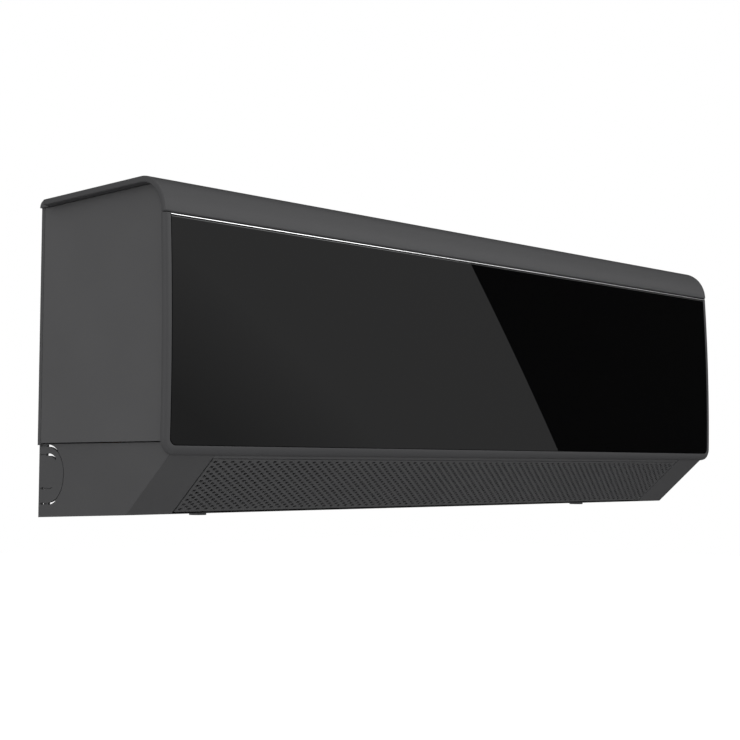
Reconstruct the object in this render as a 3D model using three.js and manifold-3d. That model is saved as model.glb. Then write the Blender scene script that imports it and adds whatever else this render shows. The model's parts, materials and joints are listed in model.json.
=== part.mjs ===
// Mini split indoor unit: a wall air conditioner built as separate pieces.
// Millimetres. +X is to the right seen from the room, -Y points into the room, +Z is up.
// The origin is the centre of the wall plate's back face, on the wall.
//
// Side-view sizes are pairs [depth, height]: depth from the wall into the room and height
// above the bottom edge of the chassis at the wall.

import * as THREE from 'three';
import { mergeVertices } from 'three/addons/utils/BufferGeometryUtils.js';
import Module from 'manifold-3d';

const wasm = await Module();
wasm.setup();

// ---------------------------------------------------------------- driving dimensions

const fitGap = 0.3; // between pieces that touch
const groove = 0.8; // visible split line between the casing and the chassis

// Outer hood: the top cover and the front panel overhang the casing on both sides.
const hoodWidth = 840;
const hoodThickness = 5.5;
const hoodTop = 292.5;
const hoodBack = 15;
const hoodCornerRadius = 34.7;
const panelThickness = 5.8;
const panelTop = 257.6;
const panelLipRadius = 8;
const panelLipHeight = 64;
const panelCornerRadius = 12.5;
const panelGap = 0.7; // between the top cover and the front panel
const frontDepth = 204.7; // deepest point of the bowed front
const hoodOverhang = 8.8; // of the hood past the casing on each side
const frontBulgeHeight = 130; // height of that point
const frontBowRadius = 2312;

// Glass and trim in the front panel.
const glassSideMargin = 6.4;
const glassBottom = 64.3;
const glassTop = 255.4;
const glassThickness = 3;
const glassCornerRadius = 6;
const trimProud = 0.15;

// Casing: side panels, top with the air intake, inner front wall.
const casingHalfWidth = hoodWidth / 2 - hoodOverhang;
const casingWall = 2.5;
const casingTopThickness = 3;
const deckDrop = 0.5; // the deck under the filter lies lower than the side panels' tops
const casingTopBack = 14;
const casingTopFront = frontDepth - 54.7;
const splitHeight = 67.3;
const frontWallThickness = 2;
const frontWallFace = frontDepth - 14.2;
const frontWallBack = frontWallFace - frontWallThickness;
const frontWallBottom = 62;
const frontWallTop = 250;
const intakeBarWidth = 3;
const intakeBarPitch = 34;
const intakeBack = 26;
const intakeFront = casingTopFront - 2;

// Recess in the top cover, and the filter tray that lies in it.
const recessBack = 21;
const recessFront = casingTopFront + 11;
const filterTop = 291.3;
const filterFrameWidth = 8;
const filterMeshThickness = 1.2;
const filterRibs = 5;
const filterRibHalf = 1.5;

// Chassis.
const chassisInset = 2.2; // behind the casing's side panels
const chassisHalfWidth = casingHalfWidth - chassisInset;
const chassisWall = 2.5;
const rimDepth = 5;
const rimWidth = 8;
const rimTop = 289.9;
const backWallDepth = 10; // room for the wall plate behind the chassis
const baseFrontDepth = frontDepth - 7.1;
const outletFront = [baseFrontDepth - 0.9, 56.6]; // upper end of the slanted outlet face
const bottomFront = [outletFront[0] - 59.8, 5.3]; // front edge of the bottom
const endBlockWidth = 48;
const endBlockInner = chassisHalfWidth - endBlockWidth; // beside the outlet
const channelCeiling = 61.2;
const channelDepth = 50;
const ductHalfWidth = endBlockInner - 9;
const ductLap = 0.6; // of the duct's guide past its ends
const footHalfSpan = 295;
const footRadius = 8;
const footDrop = 1.5;
const footDepth = bottomFront[0] - 46;
const capRadius = 6.8; // of the rounded caps on the rim, behind the hood's back corners
const capOverhang = 2.3; // past the casing on each side

// Bays at the ends of the coil: pipes on the left, motor and control box on the right.
const leftBay = 66;
const rightBay = 139;
const coilLeft = leftBay - chassisHalfWidth;
const coilRight = chassisHalfWidth - rightBay;
const partitionLeft = coilRight + 10; // between the fan and the motor bay
const serviceWindow = { left: coilLeft + 13, right: coilRight - 8, bottom: 100, top: 236 };
const intake = { left: coilLeft + 3, right: coilRight + 4, back: intakeBack, front: intakeFront };
const recess = { left: coilLeft - 3, right: partitionLeft, back: recessBack, front: recessFront };

// Knock-out for pipes in both chassis ends: two score lines in the shape of a D, open to the
// wall, that turn into narrow slots in places. Angles are in degrees.
const knockoutSlot = 2;
const knockoutScore = { width: 1, depth: 0.7 };
const knockoutBack = 2.5;
const knockoutSlotBack = 11.7; // where the upper slots begin
const knockouts = [
  { centre: [14, 39.2], radius: 26.6, slots: [[52, 90], [-86, -60]], scores: [[-60, 52]], dash: [4, 7.5] },
  { centre: [16.5, 42], radius: 15.5, slots: [[46, 90]], scores: [[-88, -70]], dash: [4.5, 7.5] },
];
const pipeExitTop = splitHeight; // of the openings at the ends of the back wall

// Wall plate.
const plateHalfWidth = 260;
const plateBottom = 78;
const plateTop = 262;
const plateThickness = 1.2;
const plateCentreHeight = 150; // the origin's height above the chassis bottom
const plateHoleRadius = 3;
const plateHoles = [[-200, 100], [-200, 230], [200, 100], [200, 230], [-60, 230], [60, 230]];
const hookHalfSpan = 150;
const hookWidth = 24;
const hookHeight = 254;
const hookThickness = 2;
const hookLip = 7;
const hookSlotRoom = 2; // beside a hook
const hookSlotHeight = 18;

// Fan and motor.
const fanCentre = [frontDepth - 104.7, 122];
const fanRadius = 47;
const fanLeft = coilLeft + 5;
const fanRight = coilRight - 2;
const fanBlades = 18;
const fanBladeInner = 35;
const fanBladeThickness = 1.6;
const fanBladeSweep = 0.28; // radians between a blade's root and its tip
const fanDiscThickness = 3;
const fanSpindleRadius = 5;
const fanHubRadius = 12;
const fanHubLength = 16;
const bearingRadius = 14;
const bearingLength = 5;
const motorShaftRadius = 4;
const motorRadius = 40;
const motorLeft = partitionLeft + 6;
const motorLength = 60;
const motorShaftEngagement = 14;
const clampThickness = 3;
const clampWidth = 26;
const clampFlange = 9;
const cradleHalfDepth = 44.5;
const cradleLength = 54;
const cradle = {
  left: partitionLeft + 1,
  right: partitionLeft + 1 + cradleLength,
  back: fanCentre[0] - cradleHalfDepth,
  front: fanCentre[0] + cradleHalfDepth,
  bottom: fanCentre[1] - 46,
  top: fanCentre[1] - 22,
};

// Lines in the side view that keep their places round the fan.
function aroundFan(offsets) {
  return offsets.map(([depth, height]) => [fanCentre[0] + depth, fanCentre[1] + height]);
}

const scroll = aroundFan([[-50, 52], [-56, 28], [-58, 0], [-54, -26], [-44, -48], [-28, -66], [-8, -82]]);
const rearShelf = [[backWallDepth + 1.2, scroll[0][1] + 4], scroll[0]];
const ductEndEdge = aroundFan([[50, -30], [52, 28], [30, 64], [-4, 78], [-34, 68]]);

// Evaporator.
const coilThickness = 25;
const coilLowerLine = aroundFan([[70, -24], [70, 60]]);
const coilUpperLine = aroundFan([[64, 70], [12, 149]]);
const coilRearLine = aroundFan([[-8.5, 148.5], [-54, 80]]);
const coilRearThickness = 22;
const coilPlateThickness = 1.2;
const coilBridgeWidth = 12; // of the plate between the upper and the rear slab
const coilFootHeight = 20; // foot that reaches the back wall
const tubeRadius = 3.5;
const tubePitch = 21;

// Refrigerant pipes in the rear channel.
const gasPipeRadius = 4.76;
const liquidPipeRadius = 3.18;
const pipeBendRadius = 18;
const coilFront = coilLowerLine[0][0];
const gasPipe = { x: 21 - chassisHalfWidth, depth: 24, height: 20, from: [coilFront, 156], end: 10 };
const liquidPipe = { x: 35 - chassisHalfWidth, depth: 24, height: 42, from: [coilFront, 122], end: -24 };
const nutLength = 18;
const nutWall = 4;
const pipeClamp = { left: -150, right: -90, back: 3, thickness: 2 };

// Outlet: ceiling, guide vanes and flap.
const ceilingLine = [
  [outletFront[0] - 50.7, outletFront[1] + 23.4],
  [outletFront[0] - 15.7, outletFront[1] + 1.8],
];
const ceilingLedge = outletFront[0] - 1.7;
const ceilingThickness = 2.4;
const ceilingFlange = { front: frontWallBack - fitGap, thickness: 1.9, top: 72 };
const vanePivotDepth = bottomFront[0] - 20.9;
const vaneThickness = 1.6;
const vaneOutline = [[-12, 3], [8, 3], [12, 14], [24, 24], [30, 56], [-2, 56]];
const vanesPerGroup = 4;
const vaneEndRoom = 52; // from the outermost vanes to the ends of the duct
const vaneSpacing = (ductHalfWidth - vaneEndRoom) / (vanesPerGroup - 1 / 4);
const vanePinRadius = 2.5;
const vanePinLength = 4;
const crankRadius = 14;
const crankPinRadius = 1.5;
const crankPinHeight = 4;
const linkThickness = 2.2;
const linkPlay = 0.7;
const linkRise = 0.8; // above the vanes
const linkEnd = 8; // past the outermost vanes
const linkBack = 8; // ahead of the vane pivots
const linkFront = 17;
const vaneMotorRadius = 10;
const vaneMotorHeight = 9.4;
const flapEndGap = 1.7;
const flapHalfWidth = endBlockInner - flapEndGap;
const flapThickness = 4;
const browFrom = 0.8; // strip of the slanted face above the flap
const browGap = 0.7;
const browThickness = 2.5;
const flapFrom = 5; // along the slanted face, from its upper end
const flapTo = 76;
const flapPivotAlong = 70;
const flapPivotInward = 7;
const flapLugRadius = 4;
const flapLugWidth = 6;
const flapPinRadius = 2;
const flapPinLength = 9;
const flapSweepClearance = 1.5;
const flapMotorRadius = 12;
const flapMotorOffset = 10;
const flapMotorLength = 15;

// Drain pan.
const panLeft = coilLeft - 3;
const panRight = coilRight + 7;
const panBack = coilFront - 18;
const panFront = coilFront + 15;
const panRim = 95.5;
const panWall = 2;
const spoutRadius = 8;
const spoutWall = 2;
const spoutLength = 16;
const spoutCentre = [coilFront + 2, 79];
const plugHead = 3;

// Electrical parts.
const controlBoxDepth = 90;
const controlBox = {
  right: casingHalfWidth - 11.2,
  back: casingTopFront - controlBoxDepth,
  front: casingTopFront,
  bottom: 178,
  top: 277,
};
const controlBoxWall = 2;
const boardThickness = 1.6;
const boardStandoff = 4;
const boardMargin = 6;
const terminal = {
  left: controlBox.right - 50,
  right: controlBox.right - 5,
  back: controlBox.front - 50,
  front: controlBox.front - 4,
  height: 19,
};
const displayLeft = coilRight + 20;
const display = { left: displayLeft, right: displayLeft + 80, bottom: 70, top: 104, thickness: 5 };
const button = { x: display.right - 15, height: 78, radius: 4, proud: 0.8 };
const buttonPlay = 0.4;

// Hinge arms of the front panel and the casing screws.
const armRadius = 34;
const armThickness = 3;
const armWidth = 6;
const armCentreX = casingHalfWidth - 15.2;
const armAngles = [192, 264]; // degrees about the panel hinge
const armPadHalf = 7;
const armPadThickness = 3;
const screwHeadRadius = 4;
const screwHeadHeight = 2;
const screwRadius = 2;
const screwLength = 14;
const screwPostHalf = 8;
const screwPostDrop = 16; // of the posts' feet below the split line
const screwHeight = 78;
const endScrewX = casingHalfWidth - 26.2;
const centreScrew = { height: frontWallBottom + 6, length: 4.6 };

// ---------------------------------------------------------------- materials

function material(colour, roughness, metalness = 0) {
  return new THREE.MeshStandardMaterial({ color: colour, roughness, metalness });
}

const paint = {
  casing: material(0x4c4c4e, 0.6),
  hood: material(0x505052, 0.5),
  glass: material(0x0a0a0c, 0.05),
  trim: material(0xd8d8da, 0.15, 1),
  flap: material(0x3e3e40, 0.6),
  inner: material(0xe8e8e4, 0.6),
  fan: material(0x2a2a2c, 0.6),
  fins: material(0xb8bcc0, 0.4, 1),
  steel: material(0xa8acb0, 0.4, 1),
  copper: material(0xb87048, 0.3, 1),
  brass: material(0xc8a850, 0.3, 1),
  rubber: material(0x1a1a1a, 0.9),
  motor: material(0xd0d2d4, 0.5),
  board: material(0x1f6b3a, 0.6),
  filter: material(0x303033, 0.8),
};

// ---------------------------------------------------------------- side-view helpers

// Side view to model space: x runs across, depth towards the room, height up.
const sideBasis = new THREE.Matrix4().makeBasis(
  new THREE.Vector3(0, -1, 0),
  new THREE.Vector3(0, 0, 1),
  new THREE.Vector3(-1, 0, 0),
);

function point(x, depth, height) {
  return new THREE.Vector3(x, -depth, height - plateCentreHeight);
}

function radians(degrees) {
  return THREE.MathUtils.degToRad(degrees);
}

function rounded(value, places) {
  return Math.round(value * 10 ** places) / 10 ** places;
}

function toSolid(geometry) {
  const bare = geometry.clone();
  bare.deleteAttribute('normal');
  bare.deleteAttribute('uv');
  const merged = mergeVertices(bare, 1e-4);
  const corners = Array.from(merged.attributes.position.array, (value) => rounded(value, 4));
  const mesh = new wasm.Mesh({
    numProp: 3,
    vertProperties: new Float32Array(corners),
    triVerts: new Uint32Array(merged.index.array),
  });
  return new wasm.Manifold(mesh);
}

function toGeometry(solid) {
  const mesh = solid.getMesh();
  const geometry = new THREE.BufferGeometry();
  geometry.setAttribute('position', new THREE.BufferAttribute(mesh.vertProperties, 3));
  geometry.setIndex(new THREE.BufferAttribute(mesh.triVerts, 1));
  geometry.computeVertexNormals();
  return geometry;
}

function join(solids) {
  return solids.reduce((sum, solid) => sum.add(solid));
}

// Outline points are rounded to a micron, so that faces meant to share a plane do.
function outline(points) {
  return new THREE.Shape(points.map(([a, b]) => new THREE.Vector2(rounded(a, 3), rounded(b, 3))));
}

// A side-view outline extruded across the unit from xLow to xHigh.
function sideSolid(points, xLow, xHigh) {
  const geometry = new THREE.ExtrudeGeometry(outline(points), {
    depth: xHigh - xLow,
    bevelEnabled: false,
  });
  geometry.applyMatrix4(sideBasis);
  geometry.translate(xHigh, 0, -plateCentreHeight);
  return toSolid(geometry);
}

// An outline in the front view, [x, height] pairs, extruded from depthLow to depthHigh.
function frontSolid(points, depthLow, depthHigh) {
  const geometry = new THREE.ExtrudeGeometry(outline(points), {
    depth: depthHigh - depthLow,
    bevelEnabled: false,
  });
  geometry.rotateX(Math.PI / 2);
  geometry.translate(0, -depthLow, -plateCentreHeight);
  return toSolid(geometry);
}

function boxSolid(xLow, xHigh, depthLow, depthHigh, low, high) {
  const corners = [[depthLow, low], [depthHigh, low], [depthHigh, high], [depthLow, high]];
  return sideSolid(corners, xLow, xHigh);
}

// A cylinder between two points of the model.
function rodSolid(start, end, radius, sides = 16) {
  const along = end.clone().sub(start);
  const geometry = new THREE.CylinderGeometry(radius, radius, along.length(), sides);
  const turn = new THREE.Quaternion();
  turn.setFromUnitVectors(new THREE.Vector3(0, 1, 0), along.clone().normalize());
  geometry.applyQuaternion(turn);
  const middle = start.clone().add(end).multiplyScalar(0.5);
  geometry.translate(middle.x, middle.y, middle.z);
  return toSolid(geometry);
}

function crossRod([depth, height], radius, xLow, xHigh, sides = 16) {
  return rodSolid(point(xLow, depth, height), point(xHigh, depth, height), radius, sides);
}

function arc([depth, height], radius, from, to, steps) {
  const points = [];
  for (let i = 0; i <= steps; i += 1) {
    const angle = radians(from + ((to - from) * i) / steps);
    points.push([depth + radius * Math.cos(angle), height + radius * Math.sin(angle)]);
  }
  return points;
}

function ringSegment(centre, inner, outer, from, to, steps) {
  return [...arc(centre, outer, from, to, steps), ...arc(centre, inner, to, from, steps)];
}

// The outline of a wall of even thickness along a line of side-view points.
function wallOutline(line, thickness) {
  const left = [];
  const right = [];
  line.forEach(([depth, height], i) => {
    const before = line[Math.max(i - 1, 0)];
    const after = line[Math.min(i + 1, line.length - 1)];
    const here = new THREE.Vector2(depth, height);
    const arriving = here.clone().sub(new THREE.Vector2(...before)).normalize();
    const leaving = new THREE.Vector2(...after).sub(here).normalize();
    const heading = arriving.add(leaving).normalize();
    const last = i === 0 ? leaving : here.clone().sub(new THREE.Vector2(...before)).normalize();
    const miter = thickness / 2 / Math.max(heading.dot(last), 0.4);
    left.push([depth - heading.y * miter, height + heading.x * miter]);
    right.push([depth + heading.y * miter, height - heading.x * miter]);
  });
  return [...left, ...right.reverse()];
}

function roundedBottom(halfWidth, bottom, top, radius) {
  return [
    [halfWidth, top],
    [-halfWidth, top],
    ...arc([-halfWidth + radius, bottom + radius], radius, 180, 270, 6),
    ...arc([halfWidth - radius, bottom + radius], radius, 270, 360, 6),
  ];
}

// Depth of the bowed front at a height.
function frontAt(height) {
  return frontDepth - (height - frontBulgeHeight) ** 2 / (2 * frontBowRadius);
}

// Points of the front curve set back by an amount, between two heights.
function frontCurve(low, high, setBack, steps = 8) {
  const points = [];
  for (let i = 0; i <= steps; i += 1) {
    const height = low + ((high - low) * i) / steps;
    points.push([frontAt(height) - setBack, height]);
  }
  return points;
}

// ---------------------------------------------------------------- shared places

// Slanted outlet face: along runs down it from its upper end, inward points into the unit.
const slantLength = Math.hypot(outletFront[0] - bottomFront[0], outletFront[1] - bottomFront[1]);
const slant = [
  (bottomFront[0] - outletFront[0]) / slantLength,
  (bottomFront[1] - outletFront[1]) / slantLength,
];
function onSlant(along, inward) {
  return [
    outletFront[0] + slant[0] * along + slant[1] * inward,
    outletFront[1] + slant[1] * along - slant[0] * inward,
  ];
}
const flapPivot = onSlant(flapPivotAlong, flapPivotInward);
const flapTailRadius = Math.hypot(flapTo - flapPivotAlong, flapPivotInward);
const noseRadius = flapTailRadius + flapSweepClearance;

// Duct floor: from the end of the scroll to the nose beside the flap's pivot.
const floorStart = scroll[scroll.length - 1];
const floorEnd = [flapPivot[0] - noseRadius - chassisWall / 2, flapPivot[1]];
const floorLength = Math.hypot(floorEnd[0] - floorStart[0], floorEnd[1] - floorStart[1]);
const flow = [(floorEnd[0] - floorStart[0]) / floorLength, (floorEnd[1] - floorStart[1]) / floorLength];
const vanePivot = [
  vanePivotDepth,
  floorStart[1] + ((vanePivotDepth - floorStart[0]) * flow[1]) / flow[0],
];
// A place in the duct: along the flow and up from the floor, from a vane's pivot.
function inDuct(along, up) {
  return [
    vanePivot[0] + flow[0] * along - flow[1] * up,
    vanePivot[1] + flow[1] * along + flow[0] * up,
  ];
}

const hoodHalfWidth = hoodWidth / 2;
const hoodCorner = [frontAt(hoodTop - hoodCornerRadius) - hoodCornerRadius, hoodTop - hoodCornerRadius];
const coverBottom = panelTop + panelGap;
const panelHinge = [frontAt(panelTop), (panelTop + coverBottom) / 2];
const glassHalfWidth = hoodHalfWidth - glassSideMargin;
const casingTop = hoodTop - hoodThickness - fitGap;
const casingFrontSetBack = panelThickness + fitGap;
const casingInner = casingHalfWidth - casingWall;
const chassisInner = chassisHalfWidth - chassisWall;
const backWallFront = backWallDepth + chassisWall;
const partitionRight = partitionLeft + chassisWall;

const vaneCentres = [];
for (let i = 0; i < vanesPerGroup; i += 1) {
  vaneCentres.push((i - (vanesPerGroup - 1) / 2) * vaneSpacing);
}
const groupOffset = (vanesPerGroup * vaneSpacing) / 2 + vaneSpacing / 4;

function bottomAt(depth) {
  return (bottomFront[1] * depth) / bottomFront[0];
}

// ---------------------------------------------------------------- assembly

const unit = new THREE.Group();
unit.name = 'mini_split_indoor_unit';

function addPiece(name, solid, finish) {
  const mesh = new THREE.Mesh(toGeometry(solid), finish);
  mesh.name = name;
  unit.add(mesh);
}

// ---------------------------------------------------------------- wall plate

function wallPlate() {
  let plate = boxSolid(-plateHalfWidth, plateHalfWidth, 0, plateThickness, plateBottom, plateTop);
  for (const [x, height] of plateHoles) {
    const hole = rodSolid(point(x, -1, height), point(x, plateThickness + 1, height), plateHoleRadius, 12);
    plate = plate.subtract(hole);
  }
  for (const side of [-1, 1]) {
    const low = side * hookHalfSpan - hookWidth / 2;
    const high = low + hookWidth;
    const tip = backWallFront + fitGap + hookThickness;
    const top = hookHeight + hookThickness;
    plate = plate.add(boxSolid(low, high, 0, tip, hookHeight, top));
    plate = plate.add(boxSolid(low, high, tip - hookThickness, tip, hookHeight, top + hookLip));
  }
  return plate;
}
addPiece('wall_plate', wallPlate(), paint.steel);

// ---------------------------------------------------------------- chassis

const baseOutline = [
  [0, 0],
  bottomFront,
  outletFront,
  [baseFrontDepth, outletFront[1] + 3],
  [baseFrontDepth, splitHeight],
  [0, splitHeight],
];

// Both values with the side's sign, the lower one first.
function mirrored(side, near, far) {
  return [side * near, side * far].sort((a, b) => a - b);
}

const noseBack = floorEnd[0] - 3;

// Cuts of the knock-out: slots through the wall, scores in its outer face.
function knockoutCuts(through, scored) {
  const cuts = [];
  for (const { centre: [depth, height], radius, slots, scores, dash } of knockouts) {
    const bent = (width, from, to, span) => {
      const inner = radius - width / 2;
      const steps = Math.ceil((to - from) / 8);
      const ring = ringSegment([depth, height], inner, inner + width, from, to, steps);
      cuts.push(sideSolid(ring, ...span));
    };
    const straight = (width, back, front, middle, span) => {
      cuts.push(boxSolid(...span, back, front, middle - width / 2, middle + width / 2));
    };
    slots.forEach(([from, to]) => bent(knockoutSlot, from, to, through));
    scores.forEach(([from, to]) => bent(knockoutScore.width, from, to, scored));
    straight(knockoutSlot, knockoutSlotBack, depth + fitGap, height + radius, through);
    straight(knockoutSlot, ...dash, height - radius, through);
    straight(knockoutScore.width, knockoutBack, depth, height + radius, scored);
    straight(knockoutScore.width, knockoutBack, depth, height - radius, scored);
  }
  return cuts;
}

// The base: one tray with a hollow block at each end and the outlet between them.
function base() {
  const outletVoid = [
    [-1, chassisWall],
    [noseBack, bottomAt(noseBack) + chassisWall],
    [noseBack, floorEnd[1] + 1.2],
    ...arc(flapPivot, noseRadius, 172, 262, 8),
    [baseFrontDepth, bottomFront[1] - 4],
    [baseFrontDepth + 5, splitHeight + 1],
    [-1, splitHeight + 1],
  ];
  const blockVoid = [
    [-1, chassisWall],
    [bottomFront[0] - 1, bottomFront[1] + chassisWall],
    [baseFrontDepth - chassisWall, onSlant(0, chassisWall)[1] + 1],
    [baseFrontDepth - chassisWall, splitHeight + 1],
    [-1, splitHeight + 1],
  ];
  let tray = sideSolid(baseOutline, -chassisHalfWidth, chassisHalfWidth)
    .subtract(sideSolid(outletVoid, -endBlockInner, endBlockInner));
  for (const side of [-1, 1]) {
    const inner = endBlockInner + chassisWall;
    tray = tray.subtract(sideSolid(blockVoid, ...mirrored(side, inner, chassisInner)));
    const wall = mirrored(side, endBlockInner - 1, inner + 1);
    tray = tray.subtract(boxSolid(...wall, -1, channelDepth, chassisWall + 1, channelCeiling - 3));
    tray = tray.subtract(crossRod(flapPivot, flapPinRadius + fitGap, ...wall, 12));
    const outerWall = mirrored(side, chassisInner - 1, chassisHalfWidth + 1);
    const scored = mirrored(side, chassisHalfWidth - knockoutScore.depth, chassisHalfWidth + 1);
    for (const cut of knockoutCuts(outerWall, scored)) tray = tray.subtract(cut);
  }
  return tray;
}

const ductFront = [
  floorEnd,
  inDuct(14, 12),
  onSlant(flapPivotAlong - 14, flapThickness + 4),
  onSlant(flapFrom + 6, flapThickness + 4),
  ceilingLine[1],
  ceilingLine[0],
];
const leftEnd = [...scroll, ...ductFront, ...ductEndEdge];
const rightEnd = [floorStart, ...ductFront];
const bayPartition = [
  [backWallDepth + 1, scroll[4][1]],
  scroll[4],
  ceilingLine[0],
  ductEndEdge[0],
  [panFront + 1, panRim + 4],
  [panFront + 1, frontWallTop - 14],
  [casingTopFront - 4, casingTop - casingTopThickness - 2],
  [backWallDepth + 1, casingTop - casingTopThickness - 2],
];
const frameTop = rimTop - rimDepth;
const capLow = casingTop + fitGap;

function rearChassis() {
  // Back wall in a frame that stands off the wall, and the rim seen behind the side panels.
  const frameHalf = chassisInner + 1;
  const frameInner = chassisInner - 3;
  const shelfLow = channelCeiling - chassisWall;
  const frame = boxSolid(-frameHalf, frameHalf, 0.4, backWallFront, shelfLow + 0.4, frameTop)
    .subtract(boxSolid(-frameInner, frameInner, -1, backWallDepth, shelfLow - 8, frameTop - chassisWall));
  const rimInner = casingHalfWidth - rimWidth;
  const rim = boxSolid(-casingHalfWidth, casingHalfWidth, 0.2, rimDepth, splitHeight - 1, rimTop)
    .subtract(boxSolid(-rimInner, rimInner, -1, rimDepth + 1, splitHeight - 8, frameTop - 1));
  const shelf = boxSolid(-ductHalfWidth - 0.3, ductHalfWidth + 0.3, backWallDepth + 0.6,
    scroll[4][0] + 10, shelfLow, channelCeiling);
  const guide = sideSolid(wallOutline([...rearShelf, ...scroll.slice(1), floorEnd], chassisWall),
    -ductHalfWidth - ductLap, ductHalfWidth + ductLap);

  const pieces = [base(), frame, rim, shelf, guide];
  pieces.push(sideSolid(leftEnd, -ductHalfWidth, chassisWall - ductHalfWidth));
  pieces.push(sideSolid(rightEnd, ductHalfWidth - chassisWall, ductHalfWidth));
  pieces.push(sideSolid(bayPartition, partitionLeft, partitionRight));
  const { left, right, back: cradleBack, front, bottom: cradleBottom, top: cradleTop } = cradle;
  pieces.push(boxSolid(left, right, cradleBack, front, cradleBottom, cradleTop));

  const postFoot = splitHeight - screwPostDrop;
  for (const side of [-1, 1]) {
    const post = mirrored(side, endScrewX - screwPostHalf, endScrewX + screwPostHalf);
    const arm = mirrored(side, endScrewX - screwPostHalf + 1, endScrewX + screwPostHalf - 1);
    pieces.push(boxSolid(...post, frontWallBack - screwLength - 1, frontWallBack - fitGap, postFoot,
      screwHeight + screwPostHalf));
    pieces.push(sideSolid([
      onSlant(14, 1),
      onSlant(1, 1),
      [baseFrontDepth - 1, postFoot + 8],
      [frontWallBack - 2, postFoot + 8],
    ], ...arm));
    const footX = side * footHalfSpan;
    pieces.push(rodSolid(point(footX, footDepth, bottomAt(footDepth) - footDrop),
      point(footX, footDepth, bottomAt(footDepth) + 1), footRadius, 20));
    pieces.push(sideSolid(arc([capRadius + 0.4, capLow], capRadius, 0, 180, 12),
      ...mirrored(side, rimInner, casingHalfWidth + capOverhang)));
  }

  let chassis = join(pieces);
  for (const side of [-1, 1]) {
    chassis = chassis.subtract(boxSolid(...mirrored(side, ductHalfWidth + ductLap, chassisInner), -1,
      backWallFront + 1, shelfLow - 1, pipeExitTop));
  }
  const motorSpace = motorRadius + fitGap;
  chassis = chassis.subtract(crossRod(fanCentre, motorSpace, partitionRight + 1.5, cradle.right + 1, 40));
  chassis = chassis.subtract(
    crossRod(fanCentre, bearingRadius + fitGap, -ductHalfWidth - 1, 1 - ductHalfWidth + chassisWall, 24));
  chassis = chassis.subtract(
    crossRod(fanCentre, fanHubRadius + 2, partitionLeft - 1, partitionRight + 1, 24));
  for (const offset of [-groupOffset, groupOffset]) {
    for (const centre of vaneCentres) {
      const x = centre + offset;
      const hole = rodSolid(point(x, ...inDuct(0, -3)), point(x, ...inDuct(0, 3)),
        vanePinRadius + fitGap, 12);
      chassis = chassis.subtract(hole);
    }
  }
  for (const side of [-1, 1]) {
    const low = side * hookHalfSpan - hookWidth / 2 - hookSlotRoom;
    const top = hookHeight + hookThickness + fitGap;
    chassis = chassis.subtract(
      boxSolid(low, low + hookWidth + 2 * hookSlotRoom, backWallDepth - 1, backWallFront + 1,
        top - hookSlotHeight, top));
    chassis = chassis.subtract(rodSolid(
      point(side * endScrewX, frontWallBack - screwLength, screwHeight),
      point(side * endScrewX, frontWallBack + 1, screwHeight), screwRadius + fitGap, 12));
  }
  return chassis;
}
addPiece('rear_chassis', rearChassis(), paint.casing);

// ---------------------------------------------------------------- casing

const casingCornerRadius = hoodCornerRadius - hoodThickness - fitGap;
const deckTop = casingTop - deckDrop;
const sideOutline = [
  [rimDepth + fitGap, splitHeight + groove],
  ...frontCurve(splitHeight + groove, hoodCorner[1], casingFrontSetBack),
  ...arc(hoodCorner, casingCornerRadius, 0, 90, 8).slice(1),
  [rimDepth + fitGap, casingTop],
];

addPiece('side_panel_left', sideSolid(sideOutline, -casingHalfWidth, -casingInner), paint.casing);
addPiece('side_panel_right', sideSolid(sideOutline, casingInner, casingHalfWidth), paint.casing);

const betweenSides = casingInner - fitGap;

// Top deck between the side panels, with the air intake's bars.
function intakeGrille() {
  const low = deckTop - casingTopThickness;
  let deck = boxSolid(-betweenSides, betweenSides, casingTopBack, casingTopFront, low, deckTop);
  const bays = Math.round((intake.right - intake.left) / intakeBarPitch);
  const bay = (intake.right - intake.left + intakeBarWidth) / bays;
  for (let i = 0; i < bays; i += 1) {
    const left = intake.left + i * bay;
    deck = deck.subtract(boxSolid(left, left + bay - intakeBarWidth, intake.back, intake.front,
      low - 1, deckTop + 1));
  }
  return deck;
}
addPiece('intake_grille', intakeGrille(), paint.casing);

// Inner front wall behind the panel, with a shoulder up to the deck.
function frontCase() {
  let wall = boxSolid(-betweenSides, betweenSides, frontWallBack, frontWallFace, frontWallBottom,
    frontWallTop);
  for (const side of [-1, 1]) {
    wall = wall.subtract(boxSolid(...mirrored(side, endBlockInner - 2, casingHalfWidth),
      frontWallBack - 1, frontWallFace + 1, frontWallBottom - 1, splitHeight + groove + 0.4));
  }
  const shoulder = [
    [casingTopFront + fitGap + frontWallThickness / 2, deckTop - casingTopThickness / 2],
    [frontWallFace - 1, frontWallTop - 1],
  ];
  let casing = wall.add(sideSolid(wallOutline(shoulder, frontWallThickness), 0.2 - betweenSides,
    betweenSides - 0.2));
  casing = casing.subtract(boxSolid(serviceWindow.left, serviceWindow.right, frontWallBack - 1,
    frontWallFace + 1, serviceWindow.bottom, serviceWindow.top));
  // Slots for the hinge arms, holes for the button and the screws.
  for (const side of [-1, 1]) {
    const low = side * armCentreX - armWidth / 2 - fitGap;
    const passes = radians(180) + Math.acos((panelHinge[0] - frontWallFace) / armRadius);
    const height = panelHinge[1] + armRadius * Math.sin(passes);
    casing = casing.subtract(boxSolid(low, low + armWidth + 2 * fitGap, frontWallBack - 1,
      frontWallFace + 1, height - armThickness - 1, height + armThickness + 1));
  }
  for (const x of [-endScrewX, 0, endScrewX]) {
    const at = x === 0 ? centreScrew.height : screwHeight;
    casing = casing.subtract(rodSolid(point(x, frontWallBack - 1, at), point(x, frontWallFace + 1, at),
      screwRadius + fitGap, 12));
  }
  casing = casing.subtract(rodSolid(point(button.x, frontWallBack - 1, button.height),
    point(button.x, frontWallFace + 1, button.height), button.radius + 1, 16));
  return casing;
}
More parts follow.
